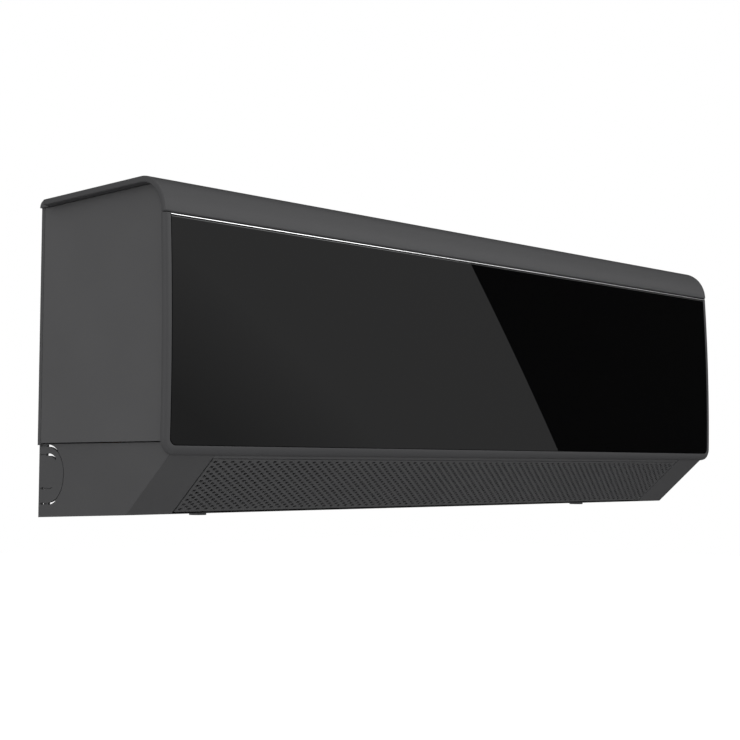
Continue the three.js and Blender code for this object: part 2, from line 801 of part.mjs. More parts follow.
addPiece('front_case', frontCase(), paint.casing);

// ---------------------------------------------------------------- top cover and filter

function topCover() {
  const innerRadius = hoodCornerRadius - hoodThickness;
  const drop = coverBottom - hoodCorner[1];
  const profile = [
    [hoodBack, hoodTop - hoodThickness],
    ...arc(hoodCorner, innerRadius, 90, (Math.asin(drop / innerRadius) * 180) / Math.PI, 10),
    ...arc(hoodCorner, hoodCornerRadius, (Math.asin(drop / hoodCornerRadius) * 180) / Math.PI, 90, 12),
    [hoodBack, hoodTop],
  ];
  const cover = sideSolid(profile, -hoodHalfWidth, hoodHalfWidth);
  return cover.subtract(boxSolid(recess.left, recess.right, recess.back, recess.front,
    hoodTop - hoodThickness - 1, hoodTop + 1));
}
addPiece('top_cover', topCover(), paint.hood);

function airFilter() {
  const low = deckTop + fitGap;
  const left = recess.left + fitGap * 2;
  const right = recess.right - fitGap * 2;
  const back = recess.back + fitGap * 2;
  const front = recess.front - fitGap * 2;
  const tray = boxSolid(left, right, back, front, low, filterTop);
  const pocket = boxSolid(left + filterFrameWidth, right - filterFrameWidth, back + filterFrameWidth,
    front - filterFrameWidth, low + filterMeshThickness, filterTop + 1);
  let filter = tray.subtract(pocket);
  for (let i = 1; i <= filterRibs; i += 1) {
    const x = left + ((right - left) * i) / (filterRibs + 1);
    filter = filter.add(boxSolid(x - filterRibHalf, x + filterRibHalf, back + 1, front - 1, low,
      filterTop - 0.5));
  }
  return filter;
}
addPiece('air_filter', airFilter(), paint.filter);

// ---------------------------------------------------------------- front panel

const pocketSetBack = glassThickness + fitGap;

function frontPanel() {
  const lipCentre = [frontAt(panelLipHeight) - panelLipRadius, panelLipHeight];
  const innerDepth = frontAt(panelLipHeight) - panelThickness;
  const lipEnd = -(Math.acos((innerDepth - lipCentre[0]) / panelLipRadius) * 180) / Math.PI;
  const profile = [
    ...frontCurve(panelLipHeight, panelTop, 0, 10),
    ...frontCurve(panelLipHeight, panelTop, panelThickness, 10).reverse(),
    ...arc(lipCentre, panelLipRadius, lipEnd, 0, 6).slice(0, -1),
  ];
  const lowest = lipCentre[1] - panelLipRadius;
  const face = roundedBottom(hoodHalfWidth, lowest, panelTop, panelCornerRadius);
  const slab = sideSolid(profile, -hoodHalfWidth, hoodHalfWidth);
  const rounded = slab.intersect(frontSolid(face, frontDepth - 60, frontDepth + 10));
  const pocketFace = roundedBottom(glassHalfWidth + fitGap, glassBottom - fitGap, panelTop + 1,
    glassCornerRadius);
  const pocketBand = [
    ...frontCurve(glassBottom - 1, panelTop + 2, -5),
    ...frontCurve(glassBottom - 1, panelTop + 2, pocketSetBack).reverse(),
  ];
  const pocket = sideSolid(pocketBand, -hoodHalfWidth, hoodHalfWidth)
    .intersect(frontSolid(pocketFace, frontDepth - 60, frontDepth + 10));
  return rounded.subtract(pocket);
}
addPiece('front_panel', frontPanel(), paint.hood);

function glassPanel() {
  const band = [
    ...frontCurve(glassBottom - 1, glassTop, 0),
    ...frontCurve(glassBottom - 1, glassTop, glassThickness).reverse(),
  ];
  const face = roundedBottom(glassHalfWidth, glassBottom, glassTop, glassCornerRadius);
  return sideSolid(band, -hoodHalfWidth, hoodHalfWidth)
    .intersect(frontSolid(face, frontDepth - 60, frontDepth + 10));
}
addPiece('glass_panel', glassPanel(), paint.glass);

const trimBand = [
  ...frontCurve(glassTop + fitGap, panelTop, -trimProud, 1),
  ...frontCurve(glassTop + fitGap, panelTop, glassThickness, 1).reverse(),
];
addPiece('chrome_strip', sideSolid(trimBand, -glassHalfWidth, glassHalfWidth), paint.trim);

// Arms that carry the panel: arcs about its hinge line that run through the inner front wall.
function hingeArm(side) {
  const low = side * armCentreX - armWidth / 2;
  const curve = ringSegment(panelHinge, armRadius - armThickness / 2, armRadius + armThickness / 2,
    ...armAngles, 12);
  const arm = sideSolid(curve, low, low + armWidth);
  const root = panelHinge[1] + armRadius * Math.sin(radians(armAngles[1]));
  const face = [
    ...frontCurve(root - armPadHalf, root + armPadHalf, panelThickness + fitGap, 2),
    ...frontCurve(root - armPadHalf, root + armPadHalf, panelThickness + fitGap + armPadThickness, 2)
      .reverse(),
  ];
  const keep = sideSolid(
    [...frontCurve(root - 40, root + 60, panelThickness + fitGap, 4), [0, root + 60], [0, root - 40]],
    low - 1, low + armWidth + 1);
  return arm.intersect(keep).add(sideSolid(face, low, low + armWidth));
}
addPiece('panel_hinge_arm_left', hingeArm(-1), paint.inner);
addPiece('panel_hinge_arm_right', hingeArm(1), paint.inner);

// ---------------------------------------------------------------- evaporator

addPiece('evaporator_front_lower',
  sideSolid(wallOutline(coilLowerLine, coilThickness), coilLeft, coilRight), paint.fins);
addPiece('evaporator_front_upper',
  sideSolid(wallOutline(coilUpperLine, coilThickness), coilLeft, coilRight), paint.fins);
addPiece('evaporator_rear',
  sideSolid(wallOutline(coilRearLine, coilRearThickness), coilLeft, coilRight), paint.fins);

// Sheet at each end of the coil, with a foot that reaches the chassis back wall.
function coilPlate(x) {
  const thick = (line, width) => sideSolid(wallOutline(line, width), x, x + coilPlateThickness);
  const lower = thick([coilLowerLine[0], [coilLowerLine[1][0], coilUpperLine[0][1]]], coilThickness);
  const upper = thick(coilUpperLine, coilThickness);
  const rear = thick(coilRearLine, coilRearThickness);
  const bridge = thick([coilUpperLine[1], coilRearLine[0]], coilBridgeWidth);
  const footLow = rearShelf[0][1] + chassisWall / 2 + 2 * fitGap;
  const foot = sideSolid([
    [backWallFront + fitGap, footLow],
    [coilRearLine[1][0] + 4, footLow + coilFootHeight - 4],
    [coilRearLine[1][0] + 4, footLow + 2 * coilFootHeight - 6],
    [backWallFront + fitGap, footLow + coilFootHeight],
  ], x, x + coilPlateThickness);
  return join([lower, upper, rear, bridge, foot]);
}
addPiece('coil_plate_left', coilPlate(coilLeft - fitGap - coilPlateThickness), paint.steel);
addPiece('coil_plate_right', coilPlate(coilRight + fitGap), paint.steel);

// U-shaped return bends on the left coil plate.
function returnBend(line, share) {
  const start = new THREE.Vector2(...line[0]);
  const heading = new THREE.Vector2(...line[1]).sub(start);
  const length = heading.length();
  heading.normalize();
  const middle = start.clone().addScaledVector(heading, length * share);
  const outward = coilLeft - coilPlateThickness - 2 * fitGap;
  class Bend extends THREE.Curve {
    getPoint(t) {
      const angle = Math.PI * t;
      const along = -Math.cos(angle) * (tubePitch / 2);
      const out = Math.sin(angle) * (tubePitch / 2);
      return point(outward - out, middle.x + heading.x * along, middle.y + heading.y * along);
    }
  }
  const section = new THREE.Shape();
  section.absarc(0, 0, tubeRadius, 0, Math.PI * 2);
  const geometry = new THREE.ExtrudeGeometry(section, {
    steps: 12, curveSegments: 4, bevelEnabled: false, extrudePath: new Bend(),
  });
  return toSolid(geometry);
}
[
  [coilUpperLine, 0.2],
  [coilUpperLine, 0.6],
  [coilRearLine, 0.25],
  [coilRearLine, 0.7],
].forEach(([line, share], i) => {
  addPiece(`return_bend_${i + 1}`, returnBend(line, share), paint.copper);
});

// ---------------------------------------------------------------- refrigerant pipes

// A path of straight runs with rounded corners.
function bentPath(points, radius) {
  const path = new THREE.CurvePath();
  let from = points[0];
  for (let i = 1; i < points.length - 1; i += 1) {
    const corner = points[i];
    const arriving = corner.clone().sub(points[i - 1]).setLength(radius);
    const leaving = points[i + 1].clone().sub(corner).setLength(radius);
    const turnIn = corner.clone().sub(arriving);
    const turnOut = corner.clone().add(leaving);
    path.add(new THREE.LineCurve3(from, turnIn));
    path.add(new THREE.QuadraticBezierCurve3(turnIn, corner, turnOut));
    from = turnOut;
  }
  path.add(new THREE.LineCurve3(from, points[points.length - 1]));
  return path;
}

function refrigerantPipe(route, radius) {
  const start = coilLeft - coilPlateThickness - 2 * fitGap;
  const path = bentPath([
    point(start, ...route.from),
    point(route.x, ...route.from),
    point(route.x, route.depth, route.height),
    point(route.end, route.depth, route.height),
  ], pipeBendRadius);
  const section = new THREE.Shape();
  section.absarc(0, 0, radius, 0, Math.PI * 2);
  return toSolid(new THREE.ExtrudeGeometry(section, {
    steps: 70, curveSegments: 4, bevelEnabled: false, extrudePath: path,
  }));
}
addPiece('gas_pipe', refrigerantPipe(gasPipe, gasPipeRadius), paint.copper);
addPiece('liquid_pipe', refrigerantPipe(liquidPipe, liquidPipeRadius), paint.copper);

function flareNut(route, radius) {
  const at = [route.depth, route.height];
  const left = route.end - nutLength;
  const body = crossRod(at, radius + nutWall, left, route.end + 2, 6);
  return body.subtract(crossRod(at, radius + fitGap, left - 1, route.end + 3, 16));
}
addPiece('gas_flare_nut', flareNut(gasPipe, gasPipeRadius), paint.brass);
addPiece('liquid_flare_nut', flareNut(liquidPipe, liquidPipeRadius), paint.brass);

// Clip across the mouth of the rear channel that keeps the pipes in.
function clip() {
  const { left, right, back, thickness } = pipeClamp;
  const top = channelCeiling - chassisWall - fitGap;
  const pads = [[gasPipe, gasPipeRadius], [liquidPipe, liquidPipeRadius]].map(([route, radius]) => (
    boxSolid(left, right, back + thickness - 0.5, route.depth - radius - fitGap,
      route.height - radius, route.height + radius)));
  const low = chassisWall + bottomAt(back + thickness) + fitGap;
  return join([boxSolid(left, right, back, back + thickness, low, top), ...pads]);
}
addPiece('pipe_clip', clip(), paint.inner);

// ---------------------------------------------------------------- fan and motor

function crossFlowFan() {
  const pieces = [];
  const [depth, height] = fanCentre;
  for (let i = 0; i < fanBlades; i += 1) {
    const angle = (2 * Math.PI * i) / fanBlades;
    const root = [Math.cos(angle) * fanBladeInner, Math.sin(angle) * fanBladeInner];
    const tipAngle = angle + fanBladeSweep;
    const reach = fanRadius - 0.8;
    const tip = [Math.cos(tipAngle) * reach, Math.sin(tipAngle) * reach];
    const line = [root, tip].map(([a, b]) => [depth + a, height + b]);
    pieces.push(sideSolid(wallOutline(line, fanBladeThickness), fanLeft + 1, fanRight - 1));
  }
  const discs = [fanLeft, (fanLeft + fanRight - fanDiscThickness) / 2, fanRight - fanDiscThickness];
  for (const x of discs) {
    pieces.push(crossRod(fanCentre, fanRadius, x, x + fanDiscThickness, 36));
  }
  pieces.push(crossRod(fanCentre, fanSpindleRadius, -ductHalfWidth - 2, fanLeft + 1, 16));
  pieces.push(crossRod(fanCentre, fanHubRadius, fanRight - fanHubLength, fanRight, 20));
  const bore = crossRod(fanCentre, motorShaftRadius + fitGap, fanRight - motorShaftEngagement,
    fanRight + 1, 16);
  return join(pieces).subtract(bore);
}
addPiece('cross_flow_fan', crossFlowFan(), paint.fan);

const bearingLeft = -ductHalfWidth - (bearingLength - chassisWall) / 2;
addPiece('fan_bearing',
  crossRod(fanCentre, bearingRadius, bearingLeft, bearingLeft + bearingLength, 24)
    .subtract(crossRod(fanCentre, fanSpindleRadius + fitGap, bearingLeft - 1,
      bearingLeft + bearingLength + 1, 16)),
  paint.rubber);

addPiece('fan_motor',
  crossRod(fanCentre, motorRadius, motorLeft, motorLeft + motorLength, 40)
    .subtract(crossRod(fanCentre, motorShaftRadius + fitGap, motorLeft - 1,
      motorLeft + motorShaftEngagement + fitGap, 16)),
  paint.motor);

addPiece('motor_shaft',
  crossRod(fanCentre, motorShaftRadius, fanRight - motorShaftEngagement + fitGap,
    motorLeft + motorShaftEngagement, 16),
  paint.steel);

function motorClamp() {
  const left = (cradle.left + cradle.right) / 2 - clampWidth / 2 + 6;
  const right = left + clampWidth;
  const inner = motorRadius + fitGap;
  const outer = inner + clampThickness;
  const seat = cradle.top + fitGap;
  const start = (Math.asin((seat - fanCentre[1]) / outer) * 180) / Math.PI;
  const band = sideSolid(ringSegment(fanCentre, inner, outer, start, 180 - start, 20), left, right);
  const reach = outer * Math.cos(radians(start));
  const flanges = [-1, 1].map((side) => {
    const ends = [fanCentre[0] + side * (reach - 1.5), fanCentre[0] + side * (reach + clampFlange)];
    ends.sort((a, b) => a - b);
    return boxSolid(left, right, ...ends, seat, seat + clampThickness);
  });
  return join([band, ...flanges]);
}
addPiece('motor_clamp', motorClamp(), paint.inner);

// ---------------------------------------------------------------- drain pan

const ceilingSlope = (ceilingLine[1][1] - ceilingLine[0][1]) / (ceilingLine[1][0] - ceilingLine[0][0]);
const ceilingRise = 1 / Math.cos(Math.atan(ceilingSlope));

// Height of the middle of the duct ceiling's wall at a depth.
function ceilingAt(depth) {
  return ceilingLine[0][1] + ceilingSlope * (depth - ceilingLine[0][0]);
}

function panFloor(depth) {
  const onSlope = ceilingAt(Math.min(depth, ceilingLine[1][0]));
  return onSlope + (ceilingThickness / 2) * ceilingRise + fitGap * ceilingRise;
}

const spoutLeft = panLeft - spoutLength;

function drainPan() {
  const floor = [
    [panBack, panFloor(panBack)],
    [ceilingLine[1][0], panFloor(ceilingLine[1][0])],
    [panFront, panFloor(ceilingLine[1][0])],
  ];
  const outer = [...floor, [panFront, panRim], [panBack, panRim]];
  const lift = panWall * ceilingRise;
  const inner = [
    [panBack + panWall, panFloor(panBack + panWall) + lift],
    [ceilingLine[1][0], panFloor(ceilingLine[1][0]) + lift],
    [panFront - panWall, panFloor(ceilingLine[1][0]) + lift],
    [panFront - panWall, panRim + 1],
    [panBack + panWall, panRim + 1],
  ];
  let pan = sideSolid(outer, panLeft, panRight)
    .subtract(sideSolid(inner, panLeft + panWall, panRight - panWall));
  pan = pan.add(crossRod(spoutCentre, spoutRadius, spoutLeft, panLeft + 1, 16));
  pan = pan.subtract(crossRod(spoutCentre, spoutRadius - spoutWall, spoutLeft - 1,
    panLeft + panWall + 1, 16));
  return pan.subtract(crossRod(spoutCentre, spoutRadius - spoutWall, panRight - panWall - 1,
    panRight + 1, 16));
}
addPiece('drain_pan', drainPan(), paint.inner);

addPiece('drain_plug',
  crossRod(spoutCentre, spoutRadius - spoutWall - fitGap, panRight - panWall, panRight + fitGap + 1, 16)
    .add(crossRod(spoutCentre, spoutRadius, panRight + fitGap, panRight + fitGap + plugHead - 0.6, 16)),
  paint.rubber);

// ---------------------------------------------------------------- outlet

// Ceiling of the duct, with the ledge and the brow above the flap and the flange behind the
// front wall.
function outletCeiling() {
  const ends = ductHalfWidth - chassisWall - fitGap;
  const ledge = [ceilingLedge, ceilingLine[1][1]];
  const sheet = sideSolid(wallOutline([...ceilingLine, ledge], ceilingThickness), -ends, ends);
  const brow = sideSolid([
    [ceilingLedge - 6, ceilingLine[1][1]],
    [ceilingLedge, ceilingLine[1][1]],
    onSlant(browFrom, 0),
    onSlant(flapFrom - browGap, 0),
    onSlant(flapFrom - browGap, browThickness),
  ], fitGap - endBlockInner, endBlockInner - fitGap);
  const { front, thickness, top } = ceilingFlange;
  const flange = boxSolid(-ends, ends, front - thickness, front, ceilingLine[1][1], top);
  const hole = rodSolid(point(0, front - thickness - 1, centreScrew.height),
    point(0, front + 1, centreScrew.height), screwRadius + fitGap, 12);
  return join([sheet, flange, brow]).subtract(hole);
}
addPiece('outlet_ceiling', outletCeiling(), paint.casing);

function guideVane(x) {
  const half = vaneThickness / 2;
  const blade = sideSolid(vaneOutline.map(([along, up]) => inDuct(along, up)), x - half, x + half);
  const top = vaneOutline[4][1];
  const foot = rodSolid(point(x, ...inDuct(0, -vanePinLength)), point(x, ...inDuct(0, 6)),
    vanePinRadius, 12);
  const crank = rodSolid(point(x, ...inDuct(crankRadius, top - 4)),
    point(x, ...inDuct(crankRadius, top + crankPinHeight)), crankPinRadius, 10);
  return join([blade, foot, crank]);
}

function vaneLink(offset) {
  const low = vaneOutline[4][1] + linkRise;
  const bar = [
    inDuct(linkBack, low),
    inDuct(linkFront, low),
    inDuct(linkFront, low + linkThickness),
    inDuct(linkBack, low + linkThickness),
  ];
  const left = offset + vaneCentres[0] - linkEnd;
  const right = offset + vaneCentres[vaneCentres.length - 1] + linkEnd;
  let link = sideSolid(bar, left, right);
  const slotBack = crankRadius - crankRadius * (1 - Math.cos(radians(32))) - crankPinRadius - 0.4;
  for (const centre of vaneCentres) {
    const half = crankPinRadius + linkPlay;
    const slot = [
      inDuct(slotBack, low - 1),
      inDuct(linkFront + 1, low - 1),
      inDuct(linkFront + 1, low + linkThickness + 1),
      inDuct(slotBack, low + linkThickness + 1),
    ];
    link = link.subtract(sideSolid(slot, offset + centre - half, offset + centre + half));
  }
  return link;
}

function vaneMotor(x) {
  const top = -chassisWall / 2 - fitGap;
  const body = rodSolid(point(x, ...inDuct(0, top - vaneMotorHeight)), point(x, ...inDuct(0, top)),
    vaneMotorRadius, 20);
  return body.subtract(rodSolid(point(x, ...inDuct(0, -vanePinLength - fitGap)),
    point(x, ...inDuct(0, 1)), vanePinRadius + fitGap, 12));
}

for (const [group, offset] of [['left', -groupOffset], ['right', groupOffset]]) {
  vaneCentres.forEach((centre, i) => {
    addPiece(`vane_${group}_${i + 1}`, guideVane(offset + centre), paint.fan);
  });
  addPiece(`vane_link_${group}`, vaneLink(offset), paint.fan);
  const driven = group === 'left' ? vaneCentres[0] : vaneCentres[vaneCentres.length - 1];
  addPiece(`vane_motor_${group}`, vaneMotor(offset + driven), paint.motor);
}

function outletFlap() {
  const plate = sideSolid([
    onSlant(flapFrom, 0),
    onSlant(flapTo, 0),
    onSlant(flapTo, flapThickness),
    onSlant(flapFrom, flapThickness),
  ], -flapHalfWidth, flapHalfWidth);
  const pieces = [plate];
  for (const side of [-1, 1]) {
    const lug = [side * (flapHalfWidth - flapLugWidth), side * flapHalfWidth].sort((a, b) => a - b);
    pieces.push(crossRod(flapPivot, flapLugRadius, ...lug, 16));
    pieces.push(sideSolid([
      onSlant(flapPivotAlong - flapLugRadius, flapThickness - 1),
      onSlant(flapPivotAlong + flapLugRadius, flapThickness - 1),
      onSlant(flapPivotAlong + flapLugRadius - 0.2, flapPivotInward),
      onSlant(flapPivotAlong - flapLugRadius + 0.2, flapPivotInward),
    ], ...lug));
    const pin = [side * (flapHalfWidth - 2), side * (flapHalfWidth + flapPinLength)];
    pin.sort((a, b) => a - b);
    pieces.push(crossRod(flapPivot, flapPinRadius, ...pin, 12));
  }
  return join(pieces);
}
addPiece('outlet_flap', outletFlap(), paint.flap);

// Geared motor in the right end block, its output beside its centre.
function flapMotor() {
  const left = endBlockInner + chassisWall + fitGap;
  const centre = onSlant(flapPivotAlong, flapPivotInward + flapMotorOffset);
  const body = crossRod(centre, flapMotorRadius, left, left + flapMotorLength, 24);
  const boss = crossRod(flapPivot, flapLugRadius, left, left + flapMotorLength, 16);
  const bore = crossRod(flapPivot, flapPinRadius + fitGap, left - 1,
    flapHalfWidth + flapPinLength + fitGap, 12);
  return body.add(boss).subtract(bore);
}
addPiece('flap_motor', flapMotor(), paint.motor);

// ---------------------------------------------------------------- electrical parts

const boxLeft = partitionRight + fitGap;

function controlTray() {
  const { right, back, front, bottom, top } = controlBox;
  const wall = controlBoxWall;
  let tray = boxSolid(boxLeft, right, back, front, bottom, top)
    .subtract(boxSolid(boxLeft + wall, right - wall, back + wall, front + 1, bottom + wall, top - wall));
  for (const x of [boxLeft + 18, right - 22]) {
    tray = tray.add(boxSolid(x, x + 4, back + 1, back + wall + boardStandoff, bottom + 10, top - 10));
  }
  return tray;
}
addPiece('control_box', controlTray(), paint.steel);

addPiece('control_box_cover',
  boxSolid(boxLeft, controlBox.right, controlBox.front + fitGap,
    controlBox.front + fitGap + controlBoxWall, controlBox.bottom, controlBox.top),
  paint.steel);

const boardBack = controlBox.back + controlBoxWall + boardStandoff + fitGap;
addPiece('circuit_board',
  boxSolid(boxLeft + boardMargin, controlBox.right - boardMargin, boardBack, boardBack + boardThickness,
    controlBox.bottom + boardMargin, controlBox.top - boardMargin),
  paint.board);

addPiece('terminal_block',
  boxSolid(terminal.left, terminal.right, terminal.back, terminal.front,
    controlBox.bottom - fitGap - terminal.height, controlBox.bottom - fitGap),
  paint.rubber);

const displayBack = frontWallFace + fitGap;
const displayFront = displayBack + display.thickness;
addPiece('display_module',
  boxSolid(display.left, display.right, displayBack, displayFront, display.bottom, display.top)
    .subtract(rodSolid(point(button.x, displayBack - 1, button.height),
      point(button.x, displayFront + 1, button.height), button.radius + buttonPlay, 20)),
  paint.rubber);

addPiece('power_button',
  rodSolid(point(button.x, frontWallFace - 1, button.height),
    point(button.x, displayFront + button.proud, button.height), button.radius, 20),
  paint.inner);

// ---------------------------------------------------------------- casing screws

function casingScrew(x, height, length) {
  const seat = frontWallFace + fitGap;
  const head = rodSolid(point(x, seat, height), point(x, seat + screwHeadHeight, height),
    screwHeadRadius, 16);
  return head.add(rodSolid(point(x, seat - length, height), point(x, seat + 1, height), screwRadius, 12));
}
addPiece('case_screw_left', casingScrew(-endScrewX, screwHeight, screwLength), paint.steel);
addPiece('case_screw_centre', casingScrew(0, centreScrew.height, centreScrew.length), paint.steel);
addPiece('case_screw_right', casingScrew(endScrewX, screwHeight, screwLength), paint.steel);

export default unit;
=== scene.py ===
"""Looks of a dark mini split indoor unit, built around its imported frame."""

import json
import math

import bmesh
import bpy
from bpy.props import FloatProperty, FloatVectorProperty, IntProperty, PointerProperty
from mathutils import Matrix, Vector


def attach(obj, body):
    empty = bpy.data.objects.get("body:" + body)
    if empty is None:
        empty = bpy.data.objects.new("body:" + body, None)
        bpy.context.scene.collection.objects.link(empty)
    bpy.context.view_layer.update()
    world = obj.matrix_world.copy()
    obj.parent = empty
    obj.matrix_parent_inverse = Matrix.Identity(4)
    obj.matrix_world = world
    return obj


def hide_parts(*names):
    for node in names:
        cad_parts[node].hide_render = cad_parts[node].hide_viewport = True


bl_info = {
    "name": "Mini Split Indoor Unit",
    "version": (1, 0, 0),
    "blender": (4, 5, 0),
    "location": "View3D > Sidebar > Indoor Unit",
    "description": "Builds the detailed pieces, materials and stage of a wall air conditioner",
    "category": "Object",
}

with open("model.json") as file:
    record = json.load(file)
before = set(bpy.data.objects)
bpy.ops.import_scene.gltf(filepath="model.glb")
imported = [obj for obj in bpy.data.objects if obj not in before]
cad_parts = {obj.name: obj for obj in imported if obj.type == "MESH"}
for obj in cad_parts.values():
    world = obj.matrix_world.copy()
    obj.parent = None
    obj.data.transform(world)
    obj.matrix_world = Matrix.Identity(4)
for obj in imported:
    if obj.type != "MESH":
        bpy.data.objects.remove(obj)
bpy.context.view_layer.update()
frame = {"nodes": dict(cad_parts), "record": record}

MM = 0.001
PLATE_CENTRE_HEIGHT = 150  # of the origin above the chassis bottom, in mm

# Side-view sizes in mm: depth from the wall and height above the chassis bottom.
FRONT_DEPTH, FRONT_BULGE_HEIGHT, FRONT_BOW_RADIUS = 204.7, 130, 2312
HOOD_HALF = 420
HOOD_TOP, HOOD_BACK, HOOD_THICKNESS = 292.5, 15, 5.5
HOOD_CORNER, HOOD_CORNER_RADIUS = (166.3, 257.8), 34.7
COVER_BOTTOM, PANEL_TOP = 258.3, 257.6
RECESS = {"left": -346, "right": 280, "back": 21, "front": 161}
LIP_HEIGHT, LIP_RADIUS, LIP_BOTTOM = 64, 8, 56.3
PANEL_THICKNESS, POCKET_DEPTH = 5.8, 3.3
GLASS_HALF, GLASS_BOTTOM, GLASS_TOP, GLASS_CORNER = 413.6, 64.3, 255.4, 6
GLASS_THICKNESS, GLASS_GAP = 3, 0.25
CASING_HALF, CASING_WALL, CASING_TOP, SPLIT_TOP = 411.2, 2.5, 286.7, 68.1
CASING_BACK, CASING_PLAY = 5.3, 0.3
SLANT_TOP, SLANT_BOTTOM = Vector((196.7, 56.6)), Vector((136.9, 5.3))
FLAP_HALF, FLAP_FROM, FLAP_TO = 359.3, 5, 76
FLAP_PIVOT, FLAP_PIVOT_INWARD = 70, 7
FAN_CENTRE, FAN_RADIUS, FAN_ENDS = (100, 122), 47, (-338, 268)
FILTER_TOP, FILTER_LOW, FILTER_FRAME, FILTER_PLAY = 291.3, 286.5, 8, 0.6
SAME = 1e-3  # mm, under which two places count as one


# ------------------------------------------------------------------ settings


class IndoorUnitSizes(bpy.types.PropertyGroup):
    """Sizes of the fine detail."""

    edge_round: FloatProperty(
        name="Edge Rounding", description="Rounding of the moulded edges",
        default=0.4 * MM, min=0.05 * MM, max=1 * MM, unit="LENGTH", subtype="DISTANCE")
    hood_round: FloatProperty(
        name="Hood Rounding", description="Rounding of the hood's outer edges",
        default=1.3 * MM, min=0.2 * MM, max=2.5 * MM, unit="LENGTH", subtype="DISTANCE")
    hole_pitch: FloatProperty(
        name="Hole Pitch", description="Distance between holes along a row of the flap",
        default=9.6 * MM, min=6 * MM, max=20 * MM, unit="LENGTH", subtype="DISTANCE")
    row_pitch: FloatProperty(
        name="Row Pitch", description="Distance between the rows of holes",
        default=3.2 * MM, min=3 * MM, max=10 * MM, unit="LENGTH", subtype="DISTANCE")
    hole_height: FloatProperty(
        name="Hole Height", description="Height of the oval holes in the flap",
        default=2.95 * MM, min=0.8 * MM, max=3 * MM, unit="LENGTH", subtype="DISTANCE")
    hole_stretch: FloatProperty(
        name="Hole Stretch", description="Width of a hole over its height",
        default=1.4, min=1, max=1.5)
    mesh_pitch: FloatProperty(
        name="Mesh Pitch", description="Pitch of the air filter's mesh",
        default=4 * MM, min=2.5 * MM, max=10 * MM, unit="LENGTH", subtype="DISTANCE")
    fan_blades: IntProperty(
        name="Fan Blades", description="Blades round the cross-flow fan", default=34, min=12, max=48)


def colour_property(label, text, value):
    return FloatVectorProperty(
        name=label, description=text, default=value, size=3, min=0, max=1, subtype="COLOR")


class IndoorUnitColours(bpy.types.PropertyGroup):
    """Colours of the finishes."""

    casing: colour_property("Casing", "Side panels, deck and inner front", (0.071, 0.071, 0.073))
    chassis: colour_property("Chassis", "Rear chassis and its end blocks", (0.062, 0.062, 0.064))
    hood: colour_property("Hood", "Top cover and front panel", (0.055, 0.055, 0.057))
    flap: colour_property("Flap", "Perforated outlet flap", (0.068, 0.068, 0.07))
    glass: colour_property("Glass", "Black glass of the front", (0.001, 0.001, 0.0011))
    trim: colour_property("Trim", "Bright strip above the glass", (0.86, 0.86, 0.87))
    inner: colour_property("Inner", "White inner mouldings", (0.72, 0.72, 0.7))
    fan: colour_property("Fan", "Fan and guide vanes", (0.024, 0.024, 0.026))
    fins: colour_property("Fins", "Aluminium coil fins", (0.62, 0.64, 0.66))
    steel: colour_property("Steel", "Galvanised sheet", (0.5, 0.52, 0.54))
    copper: colour_property("Copper", "Refrigerant pipes", (0.66, 0.32, 0.17))
    brass: colour_property("Brass", "Flare nuts", (0.72, 0.55, 0.22))
    rubber: colour_property("Rubber", "Rubber and dark parts", (0.014, 0.014, 0.014))
    motor: colour_property("Motor", "Motor housings", (0.58, 0.59, 0.6))
    board: colour_property("Board", "Circuit board", (0.02, 0.16, 0.06))
    filter: colour_property("Filter", "Air filter frame and mesh", (0.03, 0.03, 0.032))


# ------------------------------------------------------------------ places


def place(x, depth, height):
    """A point of the unit, from millimetres in the side view."""
    return Vector((x, -depth, height - PLATE_CENTRE_HEIGHT)) * MM


def flat_place(x, back, height):
    """A point of a piece that is still flat, as far behind the face as it will lie."""
    return Vector((x, back, height - PLATE_CENTRE_HEIGHT)) * MM


def front_at(height):
    """Depth of the bowed front's face at a height."""
    return FRONT_DEPTH - (height - FRONT_BULGE_HEIGHT) ** 2 / (2 * FRONT_BOW_RADIUS)


def on_slant(along, inward):
    """Side-view place on the slanted outlet face: along it from its upper end, and inwards."""
    down = (SLANT_BOTTOM - SLANT_TOP).normalized()
    return (SLANT_TOP.x + down.x * along + down.y * inward,
            SLANT_TOP.y + down.y * along - down.x * inward)


def arc(centre, radius, start, end, steps):
    """Points of a circle from one angle to another, in degrees, both ends included."""
    points = []
    for i in range(steps + 1):
        angle = math.radians(start + (end - start) * i / steps)
        points.append((centre[0] + radius * math.cos(angle), centre[1] + radius * math.sin(angle)))
    return points


def body_of_node(node):
    bodies = frame["record"]["behaviour"]["bodies"]
    return next(body for body, members in bodies.items() if node in members)


# ------------------------------------------------------------------ mesh helpers


def only(kind, geometry):
    return [item for item in geometry if isinstance(item, kind)]


def extrude(bm, faces, move):
    """Makes flat faces solid along a move."""
    grown = bmesh.ops.extrude_face_region(bm, geom=faces)["geom"]
    bmesh.ops.translate(bm, verts=only(bmesh.types.BMVert, grown), vec=move)


def run_on(bm, edges, move):
    """Draws a line of edges out along a move and returns the new line."""
    grown = bmesh.ops.extrude_edge_only(bm, edges=edges)["geom"]
    verts = only(bmesh.types.BMVert, grown)
    bmesh.ops.translate(bm, verts=verts, vec=move)
    return [e for e in only(bmesh.types.BMEdge, grown) if all(v in verts for v in e.verts)]


def slab(points, x_low, x_high):
    """A side-view outline made solid across the unit."""
    bm = bmesh.new()
    face = bm.faces.new([bm.verts.new(place(x_low, *point)) for point in points])
    extrude(bm, [face], ((x_high - x_low) * MM, 0, 0))
    bmesh.ops.recalc_face_normals(bm, faces=bm.faces)
    return bm


